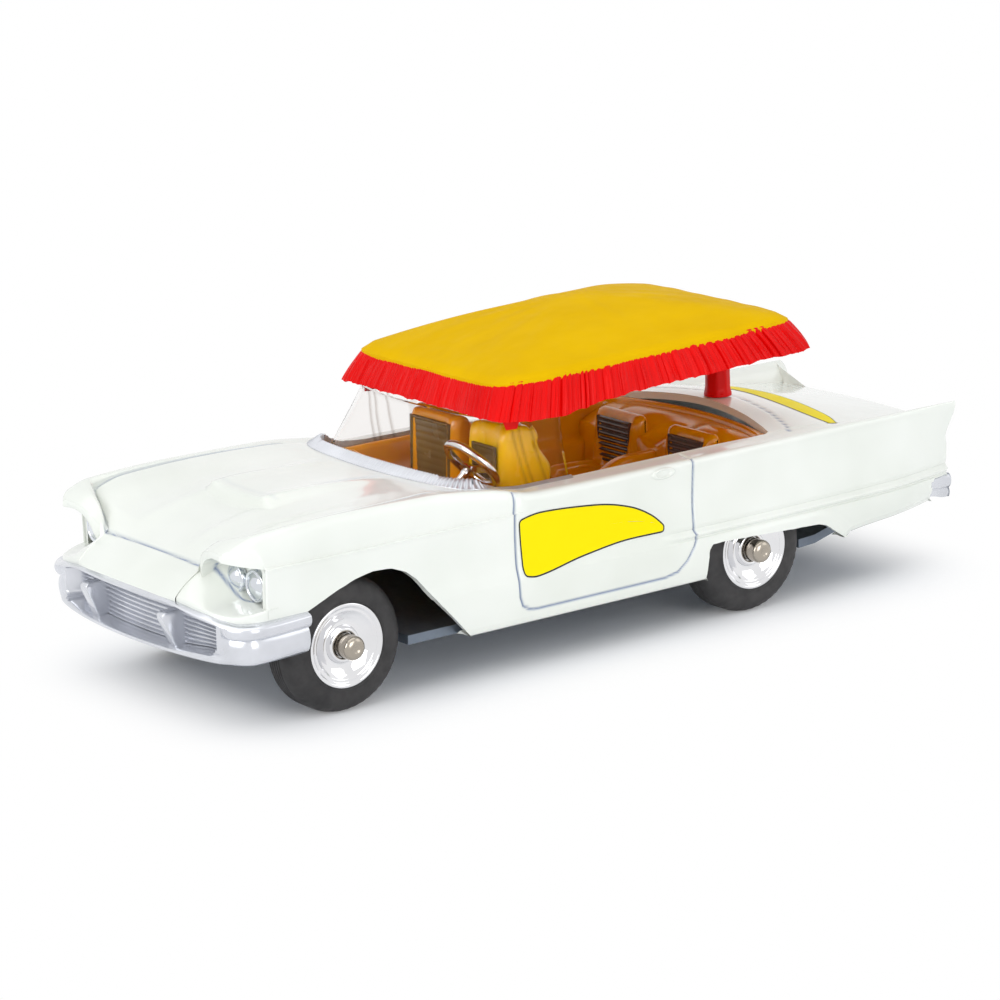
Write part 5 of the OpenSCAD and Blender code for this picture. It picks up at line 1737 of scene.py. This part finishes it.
def build_door_handles(tree, material):
    """Oval recessed handle cup on the shoulder of each door, with its rounded boss."""
    objs = []
    for s in (1, -1):
        verts = []
        rings = 7
        n = 40
        for j in range(rings):
            r = 1 - j / rings
            h = (0.02, 0.16, 0.18, 0.02, -0.05, -0.06, -0.06)[j]
            for k in range(n):
                a = 2 * math.pi * k / n
                x = -6.5 + 1.75 * r * math.cos(a)
                z = 18.35 + 0.62 * r * math.sin(a)
                hit = drop(tree, (x, s * 25, z), (0, -s, 0))
                y = hit[1] if hit is not None else s * (HALF_BODY - 1.5)
                verts.append((x, y + s * h, z + 0.25 * h))
        faces = grid_faces(rings, n, close_cols=True)
        faces.append(tuple((rings - 1) * n + k for k in range(n)))
        objs.append(make_object(f"door_handle_{'left' if s > 0 else 'right'}", verts, faces, "car",
                                material, sharp=60))
    return objs


# ---------------------------------------------------------------- camera, light and floor

def add_camera():
    az, el, roll = math.radians(36.60), math.radians(14.48), math.radians(-1.68)
    target = Vector((2.80, 0, 13.80)) * MM
    back = Vector((math.sin(az) * math.cos(el), math.cos(az) * math.cos(el), math.sin(el)))
    right = (-back).cross(Vector((0, 0, 1))).normalized()
    up = right.cross(-back)
    x_axis = right * math.cos(roll) + up * math.sin(roll)
    y_axis = up * math.cos(roll) - right * math.sin(roll)
    data = bpy.data.cameras.new("camera")
    data.lens, data.sensor_width = 136.7, 36
    data.clip_start, data.clip_end = 0.01, 20
    camera = bpy.data.objects.new("camera", data)
    bpy.context.scene.collection.objects.link(camera)
    turn = Matrix((x_axis, y_axis, back)).transposed().to_4x4()
    camera.matrix_world = Matrix.Translation(target + back * 419.8 * MM) @ turn
    bpy.context.scene.camera = camera


def area_light(name, place, aim, size, power, colour=(1, 1, 1), shape="SQUARE", size_y=None):
    data = bpy.data.lights.new(name, "AREA")
    data.shape = shape if size_y is None else "RECTANGLE"
    data.size = size
    if size_y:
        data.size_y = size_y
    data.energy = power
    data.color = colour
    light = bpy.data.objects.new(name, data)
    bpy.context.scene.collection.objects.link(light)
    direction = Vector(aim) - Vector(place)
    light.matrix_world = Matrix.Translation(Vector(place)) @ direction.to_track_quat("-Z",
                                                                                     "Y").to_matrix().to_4x4()
    return light


def pale_world():
    """A pale studio: white where it is seen or mirrored, softer as a source of light."""
    world = bpy.data.worlds.new("studio")
    bpy.context.scene.world = world
    world.use_nodes = True
    tree = world.node_tree
    tree.nodes.clear()
    path = tree.nodes.new("ShaderNodeLightPath")
    seen = _max(tree, _max(tree, path.outputs["Is Camera Ray"], path.outputs["Is Transmission Ray"]),
                path.outputs["Is Glossy Ray"])
    light = tree.nodes.new("ShaderNodeBackground")
    light.inputs["Color"].default_value = (0.93, 0.96, 1.0, 1)
    light.inputs["Strength"].default_value = 0.62
    white = tree.nodes.new("ShaderNodeBackground")
    white.inputs["Color"].default_value = (1, 1, 1, 1)
    white.inputs["Strength"].default_value = 1.0
    mix = tree.nodes.new("ShaderNodeMixShader")
    out = tree.nodes.new("ShaderNodeOutputWorld")
    tree.links.new(seen, mix.inputs[0])
    tree.links.new(light.outputs[0], mix.inputs[1])
    tree.links.new(white.outputs[0], mix.inputs[2])
    tree.links.new(mix.outputs[0], out.inputs[0])


def _max(tree, a, b):
    node = tree.nodes.new("ShaderNodeMath")
    node.operation = "MAXIMUM"
    tree.links.new(a, node.inputs[0])
    tree.links.new(b, node.inputs[1])
    return node.outputs[0]


def add_floor():
    """A pale floor that keeps the car's soft shadow and turns white away from it."""
    size = 1.6
    verts = [(-size, -size, 0), (size, -size, 0), (size, size, 0), (-size, size, 0)]
    mesh = bpy.data.meshes.new("floor")
    mesh.from_pydata(verts, [], [(0, 1, 2, 3)])
    floor = bpy.data.objects.new("floor", mesh)
    bpy.context.scene.collection.objects.link(floor)
    m = Nodes("floor_white")
    m.set(Base_Color=m.mix(m.between(m.noise(8, 2), 0, 1), rgb(250, 251, 253), rgb(246, 248, 251)),
          Roughness=0.6)
    size_ = m.add("ShaderNodeVectorMath", {0: m.coord}, operation="ABSOLUTE")
    out_by = m.add("ShaderNodeVectorMath", {0: size_.outputs[0], 1: (0.037, 0.010, 0.0)},
                   operation="SUBTRACT")
    out_by = m.add("ShaderNodeVectorMath", {0: out_by.outputs[0], 1: (0.0, 0.0, 0.0)}, operation="MAXIMUM")
    length = m.add("ShaderNodeVectorMath", {0: out_by.outputs[0]}, operation="LENGTH").outputs["Value"]
    fade = m.add("ShaderNodeMapRange", {"Value": length, "From Min": 0.0, "From Max": 0.020},
                 interpolation_type="SMOOTHSTEP").outputs[0]
    path = m.add("ShaderNodeLightPath")
    seen = m.add("ShaderNodeMath", {0: path.outputs["Is Camera Ray"], 1: path.outputs["Is Transmission Ray"]},
                 operation="MAXIMUM").outputs[0]
    seen = m.add("ShaderNodeMath", {0: seen, 1: path.outputs["Is Glossy Ray"]},
                 operation="MAXIMUM").outputs[0]
    amount = m.add("ShaderNodeMath", {0: fade, 1: seen}, operation="MULTIPLY").outputs[0]
    white = m.add("ShaderNodeEmission", {"Color": (1, 1, 1, 1), "Strength": 1.0})
    mix = m.add("ShaderNodeMixShader", {0: amount, 1: m.shader.outputs[0], 2: white.outputs[0]})
    out = m.tree.nodes["Material Output"]
    m.tree.links.new(mix.outputs[0], out.inputs["Surface"])
    mesh.materials.append(m.material)


def add_lights():
    area_light("overhead", (0.05, 0.0, 0.75), (0, 0, 0), 0.9, 1.7)
    area_light("front", (0.75, 0.12, 0.36), (0, 0, 0.01), 0.45, 2.2)
    area_light("left", (0.05, 0.85, 0.30), (0, 0, 0.02), 0.5, 1.9)
    area_light("rear_left", (-0.6, 0.5, 0.4), (0, 0, 0.01), 0.4, 0.4)


# the outer lamp of each pair; the inner one stands a step further in
HEADLAMP_X, HEADLAMP_Y, HEADLAMP_Z, HEADLAMP_RADIUS = 45.3, 15.5, 15.35, 1.7
TAIL_LAMP_Z, TAIL_LAMP_RADIUS = 13, 1.5
REAR_SEAT_Y = 6.4
LABEL_LIFT = 0.035
BESIDE_CAR, ABOVE_CAR = 25, 30


def main():
    bpy.context.scene.view_settings.view_transform = "Standard"
    add_camera()
    pale_world()
    add_floor()
    add_lights()
    paint = enamel()
    silver = silver_paint("silver_paint")
    silver_white = silver_paint("vent_silver", (206, 208, 213), (0.3, 0.42), 2200)
    chrome = plating("hub_chrome")
    steel = plating("axle_steel", (178, 170, 158), (0.12, 0.24))
    clear = clear_plastic()
    yellow = plastic("canopy_yellow", (230, 184, 0), (222, 175, 0), (0.55, 0.68), 0.12, 700, shine=0.04)
    red = plastic("fringe_red", (230, 4, 2), (214, 2, 2), (0.30, 0.42), 0.08, 420, shine=0.14)
    lamp_silver = plating("lamp_silver", (226, 230, 236), (0.06, 0.16))
    lamp_red = plastic("lamp_red", (176, 16, 14), (150, 8, 10), (0.08, 0.16), 0.03, 300)

    points, shut = body_skin()
    body = build_body(points, shut, paint)
    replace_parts(body, "body_shell")
    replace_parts(build_bumper(silver), "front_bumper")
    for s in (1, -1):
        build_guard(s, silver)
    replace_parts(build_grille(silver), "grille")
    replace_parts(build_rear_bumper(silver), "rear_bumper")
    for s, name in ((1, "left"), (-1, "right")):
        lamps = [build_lamp(f"headlamp_{name}_{k}", HEADLAMP_X + 0.4 * k, s * (HEADLAMP_Y - 3.3 * k),
                            HEADLAMP_Z + 0.3 * k,
                            HEADLAMP_RADIUS, 1, lamp_silver)
                 for k in (0, 1)]
        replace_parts(join(lamps, f"headlamps_{name}_silver"), f"headlamps_{name}")
        lamps = [build_lamp(f"tail_lamp_{name}_{k}", TAIL + 1.75, s * (HALF_BODY - 5.6 - 4 * k), TAIL_LAMP_Z,
                            TAIL_LAMP_RADIUS, -1, lamp_red, 0.3)
                 for k in (0, 1)]
        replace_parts(join(lamps, f"tail_lamps_{name}_red"), f"tail_lamps_{name}")
    rubber_mat = rubber()
    for name, x, s in (("front_left", FRONT_AXLE, 1), ("front_right", FRONT_AXLE, -1),
                       ("rear_left", REAR_AXLE, 1), ("rear_right", REAR_AXLE, -1)):
        build_wheel(name, x, s, f"wheel_{name}", rubber_mat, chrome)
    for name, x in (("front", FRONT_AXLE), ("rear", REAR_AXLE)):
        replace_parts(build_axle(name, x, steel), f"{name}_axle")
    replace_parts(build_fringe(red), "canopy_fringe")
    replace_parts(build_dome(yellow), "canopy_top")
    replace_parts(build_post(red), "canopy_post")
    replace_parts(build_windscreen(clear), "windscreen")
    build_tabs(red)

    orange = plastic("interior_orange", (226, 150, 6), (206, 132, 4), (0.12, 0.22), 0.03, 300, through=0.2)
    lemon = plastic("seat_yellow", (233, 186, 4), (224, 172, 0), (0.2, 0.32), 0.05, 380, through=0.2)
    ribs = plastic("insert_metallic", (92, 74, 68), (70, 54, 48), (0.14, 0.26), 0.05, 500)
    plated = plating("plated", (226, 224, 224), (0.08, 0.16))
    tub = build_tub(orange)
    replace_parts(tub, "interior_tub")
    build_dash(orange)
    build_console(orange)
    build_rear_shelf(orange)
    lobes = [(5.2, 24.0 - 0.1), (3.9, 23.6), (3.1, 22.9), (2.95, 22.3), (3.3, 21.7), (2.9, 21.0),
             (2.0, 19.9), (1.4, 18.8), (1.4, 17.9),
             (2.1, 16.9), (2.7, 15.8), (2.75, 13), (2.75, FLOOR + 0.05)]
    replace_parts(build_seat("driver_seat_lemon", 7.7, 4.4, 7.0, 24.0, 5.4, 5.0, lemon,
                           rear=lobes), "front_seat_left")
    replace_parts(build_seat("passenger_seat_orange", 7.7, -5.6, 8.8, 24.0, 5.4, 2.4,
                           orange), "front_seat_right")
    rear = [build_seat(f"rear_seat_{k}", -18.7, s * REAR_SEAT_Y, 8.2, 19.2, 7.6, 2.0,
                       orange) for k, s in (("left", 1), ("right", -1))]
    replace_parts(join(rear, "rear_seats_orange"), "rear_seats")
    # front seat inserts: ribbed panels whose olive-brown is partly their own colour and partly painted shade
    # of the canopy over them
    panel = plastic("panel_brown_and_painted_shade", (112, 88, 44), (92, 70, 34), (0.18, 0.3), 0.05, 500)
    front_ribs = [build_insert("insert_a", 8.0, 4.3, 4.0, 13.3, 21.8, 10, 0.02, panel, 0.05),
                  build_insert("insert_b", 8.0, -5.6, 7.2, 12.6, 22.9, 12, 0.02, panel, 0.04)]
    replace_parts(join(front_ribs, "front_inserts_ribbed"), "front_seat_inserts")
    rear_ribs = [build_insert(f"insert_{k}", -18.65, s * REAR_SEAT_Y, 6.0, 13.2, 18.4, 7, 0.02, ribs) for k,
                 s in (("c", 1), ("d", -1))]
    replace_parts(join(rear_ribs, "rear_inserts_ribbed"), "rear_seat_inserts")
    wheel, column = build_steering(plated)
    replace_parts(wheel, "steering_wheel")
    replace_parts(column, "steering_column")

    tree = surface_of(body)
    label_yellow = plastic("label_yellow", (250, 230, 0), (246, 226, 0), (0.4, 0.5), 0.02, 500, shine=0.08)
    label_black = plastic("label_black", (18, 18, 18), (26, 26, 26), (0.35, 0.5), 0.02, 500)
    for s, name in ((1, "left"), (-1, "right")):
        obj, inner = label(f"door_label_{name}", DOOR_LABEL, tree, LABEL_LIFT, lambda a,
                           b: (a, s * BESIDE_CAR, b), (0, -s, 0), label_yellow, label_black)
        paint_label(obj, inner, 0, 2)
    obj, inner = label("deck_label", DECK_LABEL, tree, LABEL_LIFT, lambda a, b: (a, b, ABOVE_CAR),
                       (0, 0, -1), label_yellow, label_black, 0.13)
    paint_label(obj, inner, 0, 1)
    build_vent_strip(tree, silver_white)
    build_door_handles(tree, paint)
    base_mat = silver_paint("base_paint", (120, 130, 142), (0.4, 0.55), 1800)
    for node in ("base_plate", "base_rivets"):
        nodes[node].data.materials.clear()
        nodes[node].data.materials.append(base_mat)


main()
